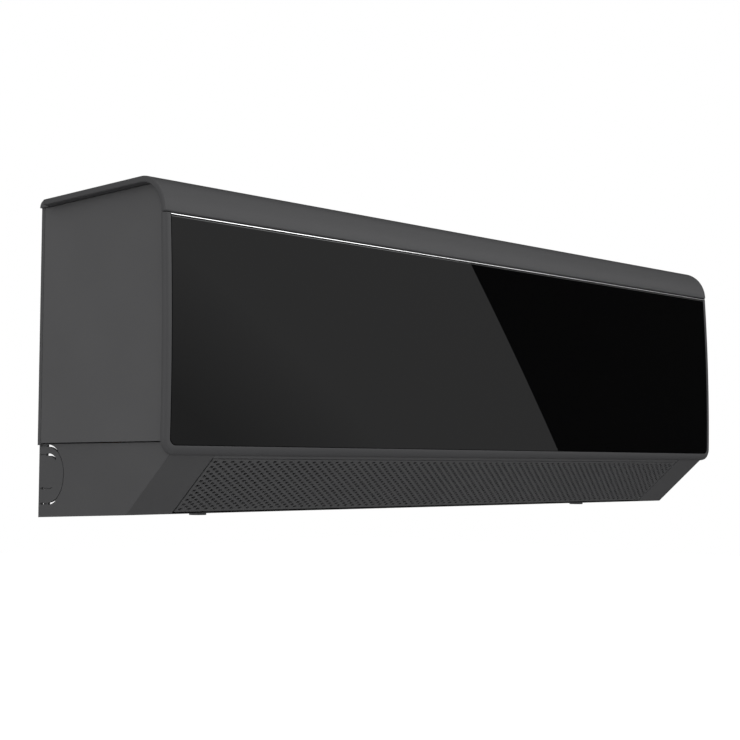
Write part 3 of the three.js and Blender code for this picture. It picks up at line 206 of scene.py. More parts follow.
def add_box(bm, x, depth, height):
    """A block between two places on each axis, in mm."""
    low, high = place(x[0], depth[1], height[0]), place(x[1], depth[0], height[1])
    move = Matrix.Translation((low + high) / 2) @ Matrix.Diagonal((*(high - low), 1))
    return bmesh.ops.create_cube(bm, size=1, matrix=move)["verts"]


def add_rod(bm, x, centre, radius, segments=24):
    """A cylinder across the unit."""
    middle = place((x[0] + x[1]) / 2, *centre)
    turn = Matrix.Translation(middle) @ Matrix.Rotation(math.pi / 2, 4, "Y")
    return bmesh.ops.create_cone(bm, cap_ends=True, segments=segments, radius1=radius * MM,
                                 radius2=radius * MM, depth=(x[1] - x[0]) * MM, matrix=turn)["verts"]


def sharp_edges(bm, angle=30):
    limit = math.radians(angle)
    return [edge for edge in bm.edges if edge.is_manifold and edge.calc_face_angle() > limit]


def round_edges(bm, edges, width, segments=3):
    bmesh.ops.bevel(bm, geom=edges, offset=width, offset_type="OFFSET", affect="EDGES",
                    segments=segments, profile=0.5, clamp_overlap=True, material=-1)


def slice_heights(bm, heights):
    for height in heights:
        bmesh.ops.bisect_plane(bm, geom=[*bm.verts, *bm.edges, *bm.faces], dist=1e-7,
                               plane_co=place(0, 0, height), plane_no=(0, 0, 1))


def bow(bm, curl=False):
    """Sets a flat front piece on the bowed front. Its depths start from zero at the face.

    With curl, the part under the lip's height rolls back around the lip.
    """
    for vert in bm.verts:
        height = vert.co.z / MM + PLATE_CENTRE_HEIGHT
        depth = front_at(height) - vert.co.y / MM
        if curl and height < LIP_HEIGHT:
            drop = min(LIP_HEIGHT - height, LIP_RADIUS)
            lip = front_at(LIP_HEIGHT) - LIP_RADIUS + math.sqrt(LIP_RADIUS ** 2 - drop ** 2)
            depth = min(depth, lip)
        vert.co.y = -depth * MM


def finish_piece(bm, name, body, finish, replaces=(), angle=30, wall=0, bevel=None):
    """Turns a bmesh into a finished piece that rides on a body.

    A wall gives a sheet its thickness, and a bevel is a width, a number of segments and the
    angle above which an edge is rounded.
    """
    loose = [edge for edge in bm.edges if not edge.is_manifold]
    if loose and not wall:
        raise RuntimeError(f"{name} isn't closed: {len(loose)} loose edges")
    for face in bm.faces:
        face.smooth = True
    limit = math.radians(angle)
    for edge in bm.edges:
        edge.smooth = bool(bevel) or not edge.is_manifold or edge.calc_face_angle() < limit
    mesh = bpy.data.meshes.new(name)
    bm.to_mesh(mesh)
    bm.free()
    mesh.materials.append(finish)
    piece = bpy.data.objects.new(name, mesh)
    bpy.context.scene.collection.objects.link(piece)
    if wall:
        thicken = piece.modifiers.new("wall", "SOLIDIFY")
        thicken.thickness = wall
        thicken.offset = -1
        thicken.use_even_offset = True
    if bevel:
        rounding = piece.modifiers.new("edges", "BEVEL")
        rounding.width, rounding.segments = bevel[0], bevel[1]
        rounding.limit_method = "ANGLE"
        rounding.angle_limit = math.radians(bevel[2])
    shading = piece.modifiers.new("shading", "WEIGHTED_NORMAL")
    shading.keep_sharp = True
    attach(piece, body)
    if replaces:
        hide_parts(*replaces)
    return piece


def softened(node, name, finish, width, segments=2):
    """A moulded or pressed piece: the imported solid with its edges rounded."""
    bm = bmesh.new()
    bm.from_mesh(frame["nodes"][node].data)
    bmesh.ops.remove_doubles(bm, verts=bm.verts, dist=2e-6)
    bmesh.ops.dissolve_limit(bm, angle_limit=math.radians(0.5), verts=bm.verts, edges=bm.edges)
    return finish_piece(bm, name, body_of_node(node), finish, [node],
                        bevel=(width, segments, 30))


def finish_slot(node):
    return next(part["material_slot"] for part in frame["record"]["subparts"] if part["node"] == node)


# ------------------------------------------------------------------ materials


def new_group(name, inputs, outputs):
    """A shader node group with its sockets: name, type and default of each."""
    group = bpy.data.node_groups.new(name, "ShaderNodeTree")
    for label, kind, value in inputs:
        socket = group.interface.new_socket(label, in_out="INPUT", socket_type=kind)
        socket.default_value = value
    for label, kind in outputs:
        group.interface.new_socket(label, in_out="OUTPUT", socket_type=kind)
    return group, group.nodes.new("NodeGroupInput"), group.nodes.new("NodeGroupOutput")


FINISH_INPUTS = [
    ("Colour", "NodeSocketColor", (0.1, 0.1, 0.1, 1)),
    ("Variation", "NodeSocketFloat", 0.1),
    ("Roughness", "NodeSocketFloat", 0.5),
    ("Spread", "NodeSocketFloat", 0.1),
    ("Fine Scale", "NodeSocketFloat", 900),
]
FINISH_OUTPUTS = [
    ("Colour", "NodeSocketColor"), ("Roughness", "NodeSocketFloat"), ("Height", "NodeSocketFloat")]


def math_node(group, operation, first, second):
    node = group.nodes.new("ShaderNodeMath")
    node.operation = operation
    for socket, value in zip(node.inputs, (first, second)):
        if isinstance(value, (int, float)):
            socket.default_value = value
        else:
            group.links.new(value, socket)
    return node.outputs[0]


def noise(group, vector, scale, detail):
    node = group.nodes.new("ShaderNodeTexNoise")
    node.inputs["Detail"].default_value = detail
    group.links.new(vector, node.inputs["Vector"])
    if isinstance(scale, (int, float)):
        node.inputs["Scale"].default_value = scale
    else:
        group.links.new(scale, node.inputs["Scale"])
    return node.outputs["Fac"]


def vary_finish(group, source, sink, broad, height):
    """Wires broad colour and roughness variation and a fine height to the group's outputs."""
    links = group.links
    centred = math_node(group, "SUBTRACT", broad, 0.5)
    change = math_node(group, "MULTIPLY", centred, source.outputs["Variation"])
    value = math_node(group, "ADD", change, 1)
    shade = group.nodes.new("ShaderNodeHueSaturation")
    links.new(source.outputs["Colour"], shade.inputs["Color"])
    links.new(value, shade.inputs["Value"])
    rough = math_node(group, "MULTIPLY", centred, source.outputs["Spread"])
    rough = math_node(group, "ADD", rough, source.outputs["Roughness"])
    links.new(shade.outputs["Color"], sink.inputs["Colour"])
    links.new(rough, sink.inputs["Roughness"])
    links.new(height, sink.inputs["Height"])


def moulded_grain():
    """Spark-eroded plastic: a fine even grain under slow changes of tone."""
    group, source, sink = new_group("moulded_grain", FINISH_INPUTS, FINISH_OUTPUTS)
    where = group.nodes.new("ShaderNodeTexCoord").outputs["Object"]
    broad_scale = 14
    broad = noise(group, where, broad_scale, 4)
    height = noise(group, where, source.outputs["Fine Scale"], 2)
    vary_finish(group, source, sink, broad, height)
    return group


def drawn_lines():
    """Rolled or drawn metal: fine streaks along the unit."""
    group, source, sink = new_group("drawn_lines", FINISH_INPUTS, FINISH_OUTPUTS)
    where = group.nodes.new("ShaderNodeTexCoord").outputs["Object"]
    stretch = group.nodes.new("ShaderNodeMapping")
    along_the_unit = 0.03
    stretch.inputs["Scale"].default_value = (along_the_unit, 1, 1)
    group.links.new(where, stretch.inputs["Vector"])
    streaks = noise(group, stretch.outputs["Vector"], source.outputs["Fine Scale"], 3)
    vary_finish(group, source, sink, streaks, streaks)
    return group


def fin_stack():
    """Edges of thin fins side by side along the unit."""
    group, source, sink = new_group("fin_stack", FINISH_INPUTS, FINISH_OUTPUTS)
    where = group.nodes.new("ShaderNodeTexCoord").outputs["Object"]
    split = group.nodes.new("ShaderNodeSeparateXYZ")
    group.links.new(where, split.inputs["Vector"])
    along = math_node(group, "MULTIPLY", split.outputs["X"], source.outputs["Fine Scale"])
    ridge = math_node(group, "PINGPONG", along, 0.5)
    edge = math_node(group, "MULTIPLY", ridge, 2)
    vary_finish(group, source, sink, edge, edge)
    return group


def base_material(name):
    finish = bpy.data.materials.new(name)
    finish.use_nodes = True
    return finish, finish.node_tree.nodes, finish.node_tree.links


def finish_material(name, group, colour, roughness, variation, spread, fine_scale, bump,
                    metallic=0.0, specular=0.5):
    finish, nodes, links = base_material(name)
    shader = nodes["Principled BSDF"]
    shader.inputs["Metallic"].default_value = metallic
    shader.inputs["Specular IOR Level"].default_value = specular
    pattern = nodes.new("ShaderNodeGroup")
    pattern.node_tree = group
    pattern.inputs["Colour"].default_value = (*colour, 1)
    pattern.inputs["Variation"].default_value = variation
    pattern.inputs["Roughness"].default_value = roughness
    pattern.inputs["Spread"].default_value = spread
    pattern.inputs["Fine Scale"].default_value = fine_scale
    links.new(pattern.outputs["Colour"], shader.inputs["Base Color"])
    links.new(pattern.outputs["Roughness"], shader.inputs["Roughness"])
    relief = nodes.new("ShaderNodeBump")
    relief.inputs["Distance"].default_value = bump
    links.new(pattern.outputs["Height"], relief.inputs["Height"])
    links.new(relief.outputs["Normal"], shader.inputs["Normal"])
    return finish


def make_finishes(colours):
    """Every finish of the unit, by the record's slot names, and the chassis' own one.

    Each row holds a colour, roughness, variation of tone, spread of roughness, scale of the
    fine pattern and depth of its relief. The hood's also ends with metallic and specular.
    """
    grain, lines, fins = moulded_grain(), drawn_lines(), fin_stack()
    plastic = {
        "casing": (colours.casing, 0.52, 0.12, 0.1, 1100, 0.05 * MM),
        "chassis": (colours.chassis, 0.55, 0.12, 0.1, 1100, 0.05 * MM),
        "hood": (colours.hood, 0.5, 0.08, 0.08, 1300, 0.03 * MM, 0.0, 0.2),
        "flap": (colours.flap, 0.5, 0.1, 0.1, 1200, 0.04 * MM),
        "glass": (colours.glass, 0.004, 0.05, 0.002, 60, 0.0),
        "inner": (colours.inner, 0.45, 0.05, 0.1, 900, 0.03 * MM),
        "fan": (colours.fan, 0.45, 0.2, 0.1, 900, 0.03 * MM),
        "rubber": (colours.rubber, 0.75, 0.3, 0.15, 700, 0.06 * MM),
        "motor": (colours.motor, 0.4, 0.1, 0.1, 800, 0.03 * MM),
        "board": (colours.board, 0.35, 0.5, 0.2, 400, 0.1 * MM),
        "filter": (colours.filter, 0.6, 0.2, 0.1, 900, 0.03 * MM),
    }
    metal = {
        "trim": (colours.trim, 0.09, 0.04, 0.05, 300, 0.0),
        "steel": (colours.steel, 0.38, 0.25, 0.25, 500, 0.02 * MM),
        "copper": (colours.copper, 0.3, 0.3, 0.2, 400, 0.01 * MM),
        "brass": (colours.brass, 0.25, 0.15, 0.15, 600, 0.01 * MM),
    }
    made = {slot: finish_material(f"unit_{slot}", grain, *values) for slot, values in plastic.items()}
    for slot, values in metal.items():
        made[slot] = finish_material(f"unit_{slot}", lines, *values, metallic=1.0)
    made["fins"] = finish_material(
        "unit_fins", fins, colours.fins, 0.35, 1.2, 0.2, 700, 0.3 * MM, metallic=1.0)
    return made


FINISHES = {}


def finish_for(slot):
    if not FINISHES:
        FINISHES.update(make_finishes(bpy.context.scene.indoor_unit_colours))
    return FINISHES[slot]


def sizes():
    return bpy.context.scene.indoor_unit_sizes


# ------------------------------------------------------------------ casing


class UNIT_OT_casing(bpy.types.Operator):
    """Side panels, top deck, inner front wall and outlet ceiling"""

    bl_idname = "indoor_unit.casing"
    bl_label = "Build Casing"

    def execute(self, context):
        front_corner = HOOD_CORNER_RADIUS - HOOD_THICKNESS - CASING_PLAY
        setback = PANEL_THICKNESS + CASING_PLAY
        steps = 16
        rise = HOOD_CORNER[1] - SPLIT_TOP
        outline = [(CASING_BACK, SPLIT_TOP)]
        for i in range(steps):
            height = SPLIT_TOP + rise * i / steps
            outline.append((front_at(height) - setback, height))
        outline += arc(HOOD_CORNER, front_corner, 0, 90, 20)
        outline.append((CASING_BACK, CASING_TOP))
        for side, name in ((-1, "left"), (1, "right")):
            low, high = sorted((side * CASING_HALF, side * (CASING_HALF - CASING_WALL)))
            bm = slab(outline, low, high)
            round_edges(bm, sharp_edges(bm, 40), sizes().edge_round)
            finish_piece(bm, f"casing_side_{name}", "unit", finish_for("casing"),
                         [f"side_panel_{name}"])
        for node in ("intake_grille", "front_case", "outlet_ceiling"):
            softened(node, f"{node}_moulding", finish_for("casing"), sizes().edge_round)
        return {"FINISHED"}


class UNIT_OT_chassis(bpy.types.Operator):
    """Rear chassis with its outlet duct"""

    bl_idname = "indoor_unit.chassis"
    bl_label = "Build Chassis"

    def execute(self, context):
        softened("rear_chassis", "chassis_moulding", finish_for("chassis"), sizes().edge_round)
        return {"FINISHED"}


# ------------------------------------------------------------------ hood


class UNIT_OT_top_cover(bpy.types.Operator):
    """Top cover that rolls over into the front, with the recess for the filter"""

    bl_idname = "indoor_unit.top_cover"
    bl_label = "Build Top Cover"

    def execute(self, context):
        end = math.degrees(math.asin((COVER_BOTTOM - HOOD_CORNER[1]) / HOOD_CORNER_RADIUS))
        profile = [(HOOD_BACK, HOOD_TOP), (RECESS["back"], HOOD_TOP), (RECESS["front"], HOOD_TOP)]
        profile += arc(HOOD_CORNER, HOOD_CORNER_RADIUS, 90, end, 28)
        bm = bmesh.new()
        verts = [bm.verts.new(place(-HOOD_HALF, *point)) for point in profile]
        edges = [bm.edges.new(pair) for pair in zip(verts, verts[1:])]
        x = -HOOD_HALF
        for stop in (RECESS["left"], RECESS["right"], HOOD_HALF):
            edges = run_on(bm, edges, ((stop - x) * MM, 0, 0))
            x = stop
        opening = []
        for face in bm.faces:
            middle = face.calc_center_median() / MM
            inside = RECESS["left"] < middle.x < RECESS["right"]
            if inside and RECESS["back"] < -middle.y < RECESS["front"]:
                opening.append(face)
        bmesh.ops.delete(bm, geom=opening, context="FACES")
        bm.normal_update()
        top = max(bm.faces, key=lambda face: abs(face.normal.z) * face.calc_area())
        if top.normal.z < 0:
            bmesh.ops.reverse_faces(bm, faces=bm.faces)
        finish_piece(bm, "hood_cover", "unit", finish_for("hood"), ["top_cover"],
                     wall=HOOD_THICKNESS * MM, bevel=(sizes().hood_round, 4, 40))
        return {"FINISHED"}


class UNIT_OT_front_panel(bpy.types.Operator):
    """Front panel that frames the glass, with its rolled lower lip and hinge arms"""

    bl_idname = "indoor_unit.front_panel"
    bl_label = "Build Front Panel"

    def execute(self, context):
        border = HOOD_HALF - GLASS_HALF
        side_round, inner_round, chamfer, slice_step = 3.2, 0.35, 0.5, 14
        flat = border - side_round
        section = [(0, POCKET_DEPTH), (0, inner_round), (0.1, 0.1), (inner_round, 0)]
        section += [(inner_round + (flat - inner_round) * i / 5, 0) for i in range(1, 5)]
        section += [(u, side_round - v) for u, v in arc((flat, 0), side_round, 90, 0, 6)]
        section += [(border, PANEL_THICKNESS - chamfer), (border - chamfer, PANEL_THICKNESS),
                    (0, PANEL_THICKNESS)]
        bm = bmesh.new()
        verts = [bm.verts.new(flat_place(-GLASS_HALF - u, v, PANEL_TOP)) for u, v in section]
        edges = [bm.edges.new(pair) for pair in zip(verts, verts[1:])]
        corner_height = GLASS_BOTTOM + GLASS_CORNER
        corner_x = GLASS_HALF - GLASS_CORNER
        down = (corner_height - PANEL_TOP) * MM
        edges = run_on(bm, edges, (0, 0, down))
        edges = self.turn(bm, edges, (-corner_x, corner_height))
        edges = run_on(bm, edges, (2 * corner_x * MM, 0, 0))
        edges = self.turn(bm, edges, (corner_x, corner_height))
        run_on(bm, edges, (0, 0, -down))
        for depth in (POCKET_DEPTH, PANEL_THICKNESS):
            rim = [e for e in bm.edges if e.is_boundary
                   and all(abs(v.co.y / MM - depth) < SAME for v in e.verts)]
            bmesh.ops.contextual_create(bm, geom=rim)
        bmesh.ops.holes_fill(bm, edges=[e for e in bm.edges if e.is_boundary], sides=0)
        bmesh.ops.recalc_face_normals(bm, faces=bm.faces)
        lowest, shown = GLASS_BOTTOM - border, GLASS_BOTTOM - LIP_BOTTOM
        for vert in bm.verts:
            height = vert.co.z / MM + PLATE_CENTRE_HEIGHT
            if height < GLASS_BOTTOM:
                drop = (GLASS_BOTTOM - height) * shown / (GLASS_BOTTOM - lowest)
                vert.co.z = (GLASS_BOTTOM - drop - PLATE_CENTRE_HEIGHT) * MM
        slice_heights(bm, [GLASS_BOTTOM + slice_step * i for i in range(1, 14)])
        bow(bm, curl=True)
        bmesh.ops.remove_doubles(bm, verts=bm.verts, dist=2e-5)
        finish_piece(bm, "hood_front", "panel", finish_for("hood"), ["front_panel"], 35)
        for side in ("left", "right"):
            softened(f"panel_hinge_arm_{side}", f"hinge_arm_{side}", finish_for("inner"),
                     sizes().edge_round)
        return {"FINISHED"}

    @staticmethod
    def turn(bm, edges, centre):
        """Leads the section a quarter round a lower corner of the glass."""
        spun = bmesh.ops.spin(bm, geom=edges, cent=flat_place(centre[0], 0, centre[1]),
                              axis=(0, -1, 0), angle=math.pi / 2, steps=10, use_merge=False,
                              use_duplicate=False)["geom_last"]
        return only(bmesh.types.BMEdge, spun)


class UNIT_OT_glass(bpy.types.Operator):
    """Glass of the front, and the bright strip above it"""

    bl_idname = "indoor_unit.glass"
    bl_label = "Build Glass and Trim"

    def execute(self, context):
        half = GLASS_HALF - GLASS_GAP
        low = GLASS_BOTTOM + GLASS_GAP
        corner = (half - GLASS_CORNER, low + GLASS_CORNER)
        outline = [(half, GLASS_TOP), (-half, GLASS_TOP)]
        outline += arc((-corner[0], corner[1]), GLASS_CORNER, 180, 270, 10)
        outline += arc(corner, GLASS_CORNER, 270, 360, 10)
        bm = self.sheet(outline, 0, GLASS_THICKNESS)
        edge_width, slice_step, last_slices = 0.35 * MM, 4, (252.5, GLASS_TOP - 0.7)
        round_edges(bm, sharp_edges(bm, 60), edge_width, 2)
        slice_heights(bm, [*(low + slice_step * i for i in range(1, 47)), *last_slices])
        bow(bm)
        finish_piece(bm, "glass_sheet", "panel", finish_for("glass"), ["glass_panel"])

        strip_low, strip_high, proud, strip_round = GLASS_TOP + 0.35, PANEL_TOP - 0.1, 0.15, 0.8 * MM
        strip = [(half, strip_low), (half, strip_high), (-half, strip_high), (-half, strip_low)]
        bm = self.sheet(strip, -proud, GLASS_THICKNESS)
        front = [e for e in bm.edges if e.calc_length() > 100 * MM
                 and all(abs(v.co.y / MM + proud) < SAME for v in e.verts)]
        round_edges(bm, front, strip_round, 5)
        bow(bm)
        finish_piece(bm, "bright_strip", "panel", finish_for("trim"), ["chrome_strip"])
        return {"FINISHED"}

    @staticmethod
    def sheet(outline, front, back):
        """An even sheet with a front-view outline, from front to back behind the face."""
        bm = bmesh.new()
        face = bm.faces.new([bm.verts.new(flat_place(x, front, height)) for x, height in outline])
        extrude(bm, [face], (0, (back - front) * MM, 0))
        bmesh.ops.recalc_face_normals(bm, faces=bm.faces)
        return bm


# ------------------------------------------------------------------ outlet


class UNIT_OT_flap(bpy.types.Operator):
    """Perforated outlet flap with its pivots"""

    bl_idname = "indoor_unit.flap"
    bl_label = "Build Outlet Flap"

    def execute(self, context):
        margin = 2.2
        thickness = 1.5
        half, low, high = FLAP_HALF - margin, FLAP_FROM + margin, FLAP_TO - margin
        columns = round(2 * half * MM / sizes().hole_pitch)
        rows = round((high - low) * MM / sizes().row_pitch)
        bm = bmesh.new()
        bmesh.ops.create_grid(bm, x_segments=columns, y_segments=rows, size=0.5)
        bmesh.ops.scale(bm, verts=bm.verts, vec=(2 * half, high - low, 1))
        bmesh.ops.translate(bm, verts=bm.verts, vec=(0, (low + high) / 2, 0))
        self.punch(bm, rows, low, high, 2 * half / columns)
        self.frame_in(bm, half, low, high)
        extrude(bm, list(bm.faces), (0, 0, thickness))
        for vert in bm.verts:
            vert.co = place(vert.co.x, *on_slant(vert.co.y, vert.co.z))
        bmesh.ops.recalc_face_normals(bm, faces=bm.faces)
        finish_piece(bm, "flap_plate", "flap", finish_for("flap"), ["outlet_flap"], 25)

        bm = bmesh.new()
        pivot = on_slant(FLAP_PIVOT, FLAP_PIVOT_INWARD)
        ear_width, ear_radius = 6, 4
        web_width, web_length, web_height = 5.4, 7.6, 4.6
        pin_radius, pin_inside, pin_outside = 2, 2, 9
        for side in (-1, 1):
            ear = sorted((side * (FLAP_HALF - ear_width), side * FLAP_HALF))
            add_rod(bm, ear, pivot, ear_radius, 32)
            for vert in bmesh.ops.create_cube(bm, size=1)["verts"]:
                x = (ear[0] + ear[1]) / 2 + web_width * vert.co.x
                along = FLAP_PIVOT + web_length * vert.co.y
                inward = web_height + web_height * vert.co.z
                vert.co = place(x, *on_slant(along, inward))
            pin = sorted((side * (FLAP_HALF - pin_inside), side * (FLAP_HALF + pin_outside)))
            add_rod(bm, pin, pivot, pin_radius)
        bmesh.ops.recalc_face_normals(bm, faces=bm.faces)
        finish_piece(bm, "flap_pivots", "flap", finish_for("flap"), ["outlet_flap"])
        return {"FINISHED"}

    @staticmethod
    def punch(bm, rows, low, high, pitch):
        """An oval hole in each cell of the grid, staggered from row to row.

        Each cell's inset face becomes the hole's frame, and cutting its corners makes it oval.
        """
        row_height = (high - low) / rows
        radius = sizes().hole_height / MM / 2
        cells = list(bm.faces)
        middles = {cell: cell.calc_center_median() for cell in cells}
        bmesh.ops.inset_individual(bm, faces=cells, thickness=0.2, use_even_offset=True)
        for cell in cells:
            middle = middles[cell]
            row = int((middle.y - low) / row_height)
            shift = pitch / 4 if row % 2 else -pitch / 4
            for vert in cell.verts:
                away = vert.co - middle
                vert.co.x = middle.x + shift + math.copysign(radius * sizes().hole_stretch, away.x)
                vert.co.y = middle.y + math.copysign(radius, away.y)
        corners = [vert for cell in cells for vert in cell.verts]
        bmesh.ops.bevel(bm, geom=corners, offset=radius * (2 - math.sqrt(2)), offset_type="OFFSET",
                        affect="VERTICES", segments=1, profile=0.5, clamp_overlap=False, material=-1)
        holes = [face for face in bm.faces if len(face.verts) == 8]
        bmesh.ops.delete(bm, geom=holes, context="FACES")

    @staticmethod
    def frame_in(bm, half, low, high):
        """Plain border between the rows of holes and the plate's edge."""
        def on_edge(vert):
            return (abs(abs(vert.co.x) - half) < SAME or abs(vert.co.y - low) < SAME
                    or abs(vert.co.y - high) < SAME)

        rim = [e for e in bm.edges if e.is_boundary and all(on_edge(v) for v in e.verts)]
        grown = bmesh.ops.extrude_edge_only(bm, edges=rim)["geom"]
        for vert in only(bmesh.types.BMVert, grown):
            if abs(abs(vert.co.x) - half) < SAME:
                vert.co.x = math.copysign(FLAP_HALF, vert.co.x)
            if abs(vert.co.y - low) < SAME:
                vert.co.y = FLAP_FROM
            if abs(vert.co.y - high) < SAME:
                vert.co.y = FLAP_TO


class UNIT_OT_vanes(bpy.types.Operator):
    """Guide vanes behind the flap, and the links that turn them"""

    bl_idname = "indoor_unit.vanes"
    bl_label = "Build Guide Vanes"

    def execute(self, context):
        for group in ("left", "right"):
            for i in range(1, 5):
                softened(f"vane_{group}_{i}", f"guide_blade_{group}_{i}", finish_for("fan"),
                         sizes().edge_round)
            softened(f"vane_link_{group}", f"blade_link_{group}", finish_for("fan"), sizes().edge_round)
        return {"FINISHED"}


# ------------------------------------------------------------------ air path


class UNIT_OT_filter(bpy.types.Operator):
    """Lift-out air filter: frame, ribs and mesh"""

    bl_idname = "indoor_unit.air_filter"
    bl_label = "Build Air Filter"

    def execute(self, context):
        left, right = RECESS["left"] + FILTER_PLAY, RECESS["right"] - FILTER_PLAY
        back, front = RECESS["back"] + FILTER_PLAY, RECESS["front"] - FILTER_PLAY
        bm = bmesh.new()
        self.sheet(bm, (left, right), (back, front), 1, 1, FILTER_LOW)
        inner = bmesh.ops.inset_region(bm, faces=list(bm.faces), thickness=FILTER_FRAME * MM)
        middle = [f for f in bm.faces if f not in inner["faces"]]
        bmesh.ops.delete(bm, geom=middle, context="FACES")
        extrude(bm, list(bm.faces), (0, 0, (FILTER_TOP - FILTER_LOW) * MM))
        bmesh.ops.recalc_face_normals(bm, faces=bm.faces)
        frame_round = 0.6 * MM
        round_edges(bm, sharp_edges(bm, 60), frame_round)
        rib_end = FILTER_FRAME - 0.5  # the ribs run 0.5 mm into the frame
        cross_ribs, cross_half, long_ribs, long_half = 5, 1.5, 2, 1
        for i in range(1, cross_ribs + 1):
            x = left + (right - left) * i / (cross_ribs + 1)
            add_box(bm, (x - cross_half, x + cross_half), (back + rib_end, front - rib_end),
                    (FILTER_LOW + 0.1, FILTER_TOP - 0.6))
        for i in range(1, long_ribs + 1):
            depth = back + (front - back) * i / (long_ribs + 1)
            add_box(bm, (left + rib_end, right - rib_end), (depth - long_half, depth + long_half),
                    (FILTER_LOW + 0.2, FILTER_TOP - 1.2))
        finish_piece(bm, "filter_frame", "filter", finish_for("filter"), ["air_filter"])

        bm = bmesh.new()
        strand_half, strand_height = 0.55 * MM, 0.6 * MM
        mesh_end = FILTER_FRAME - 1  # the mesh runs 1 mm into the frame
        x, depth = (left + mesh_end, right - mesh_end), (back + mesh_end, front - mesh_end)
        columns = round((x[1] - x[0]) * MM / sizes().mesh_pitch)
        rows = round((depth[1] - depth[0]) * MM / sizes().mesh_pitch)
        self.sheet(bm, x, depth, columns, rows, FILTER_LOW + 1)
        cells = list(bm.faces)
        bmesh.ops.inset_individual(bm, faces=cells, thickness=strand_half)
        bmesh.ops.delete(bm, geom=cells, context="FACES")
        extrude(bm, list(bm.faces), (0, 0, strand_height))
        bmesh.ops.recalc_face_normals(bm, faces=bm.faces)
        finish_piece(bm, "filter_mesh", "filter", finish_for("filter"), ["air_filter"])
        return {"FINISHED"}

    @staticmethod
    def sheet(bm, x, depth, columns, rows, height):
        """A level grid of cells between two places on each axis."""
        middle = place((x[0] + x[1]) / 2, (depth[0] + depth[1]) / 2, height)
        spread = Matrix.Diagonal(((x[1] - x[0]) * MM, (depth[1] - depth[0]) * MM, 1, 1))
        bmesh.ops.create_grid(bm, x_segments=columns, y_segments=rows, size=0.5,
                              matrix=Matrix.Translation(middle) @ spread)


class UNIT_OT_fan(bpy.types.Operator):
    """Cross-flow fan with curved blades between its discs"""

    bl_idname = "indoor_unit.fan"
    bl_label = "Build Fan"

    def execute(self, context):
        blades = sizes().fan_blades
        start, end = FAN_ENDS
        curl = (FAN_CENTRE[0] + 39.5, FAN_CENTRE[1] + 10)  # centre of the first blade's curve
        curl_radius, blade_half, sweep = 11, 0.6, (-98, -18)
        profile = arc(curl, curl_radius + blade_half, *sweep, 6)
        profile += arc(curl, curl_radius - blade_half, *reversed(sweep), 6)
        bm = slab(profile, start + 1, end - 1)
        bmesh.ops.spin(bm, geom=[*bm.verts, *bm.edges, *bm.faces], cent=place(0, *FAN_CENTRE),
                       axis=(1, 0, 0), angle=2 * math.pi * (blades - 1) / blades, steps=blades - 1,
                       use_merge=False, use_duplicate=True)
        discs, disc_width = 9, 3
        for i in range(discs):
            x = start + (end - start - disc_width) * i / (discs - 1)
            add_rod(bm, (x, x + disc_width), FAN_CENTRE, FAN_RADIUS, 64)
        stub_end, stub_radius, hub_length, hub_radius = -354, 5, 16, 12
        add_rod(bm, (stub_end, start + 1), FAN_CENTRE, stub_radius)
        add_rod(bm, (end - hub_length, end - 0.5), FAN_CENTRE, hub_radius, 32)
        finish_piece(bm, "fan_runner", "fan", finish_for("fan"), ["cross_flow_fan"])
        return {"FINISHED"}


class UNIT_OT_pipes(bpy.types.Operator):
    """Refrigerant pipes, their flare nuts and their clip"""

    bl_idname = "indoor_unit.pipes"
    bl_label = "Build Pipes"

    def execute(self, context):
        coil_side, channel_depth, bend = -344.8, 24, 18 * MM
        # radius, place of the bend down, height in the channel, entry into the coil, far end
        pipes = {
            "gas_pipe": (4.76, -388, 20, (170, 156), 10),
            "liquid_pipe": (3.18, -374, 42, (170, 122), -24),
        }
        for name, (radius, x, height, entry, end) in pipes.items():
            route = [place(coil_side, *entry), place(x, *entry), place(x, channel_depth, height),
                     place(end, channel_depth, height)]
            self.tube(name, self.rounded(route, bend), radius)
        for name in ("gas", "liquid"):
            softened(f"{name}_flare_nut", f"{name}_nut", finish_for("brass"), 0.5 * MM, 3)
        softened("pipe_clip", "pipe_bracket", finish_for("inner"), sizes().edge_round)
        return {"FINISHED"}

    @staticmethod
    def rounded(route, radius):
        """The route with each corner turned along a smooth bend."""
        points = [route[0]]
        for before, corner, after in zip(route, route[1:], route[2:]):
            enter = corner + (before - corner).normalized() * radius
            leave = corner + (after - corner).normalized() * radius
            steps = 12
            for i in range(steps + 1):
                t = i / steps
                points.append(enter * (1 - t) ** 2 + corner * 2 * t * (1 - t) + leave * t ** 2)
        return points + [route[-1]]

    @staticmethod
    def tube(node, points, radius):
        """A round tube along the points, in place of a packed pipe."""
        curve = bpy.data.curves.new(f"{node}_run", "CURVE")
        curve.dimensions = "3D"
        curve.bevel_depth = radius * MM
        curve.bevel_resolution = 7
        curve.use_fill_caps = True
        line = curve.splines.new("POLY")
        line.points.add(len(points) - 1)
        for item, point in zip(line.points, points):
            item.co = (*point, 1)
        curve.materials.append(finish_for("copper"))
        run = bpy.data.objects.new(f"{node}_run", curve)
        bpy.context.scene.collection.objects.link(run)
        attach(run, "unit")
        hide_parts(node)


# ------------------------------------------------------------------ inner parts


class UNIT_OT_sheet_metal(bpy.types.Operator):
    """Wall plate, coil plates, control box and casing screws"""

    bl_idname = "indoor_unit.sheet_metal"
    bl_label = "Build Sheet Metal"

    def execute(self, context):
        names = {
            "wall_plate": "mounting_plate", "coil_plate_left": "coil_end_left",
            "coil_plate_right": "coil_end_right", "control_box": "control_tray",
            "control_box_cover": "control_lid", "case_screw_left": "screw_left",
            "case_screw_centre": "screw_centre", "case_screw_right": "screw_right",
        }
        pressed_round = 0.25 * MM
        for node, name in names.items():
            softened(node, name, finish_for("steel"), pressed_round)
        return {"FINISHED"}


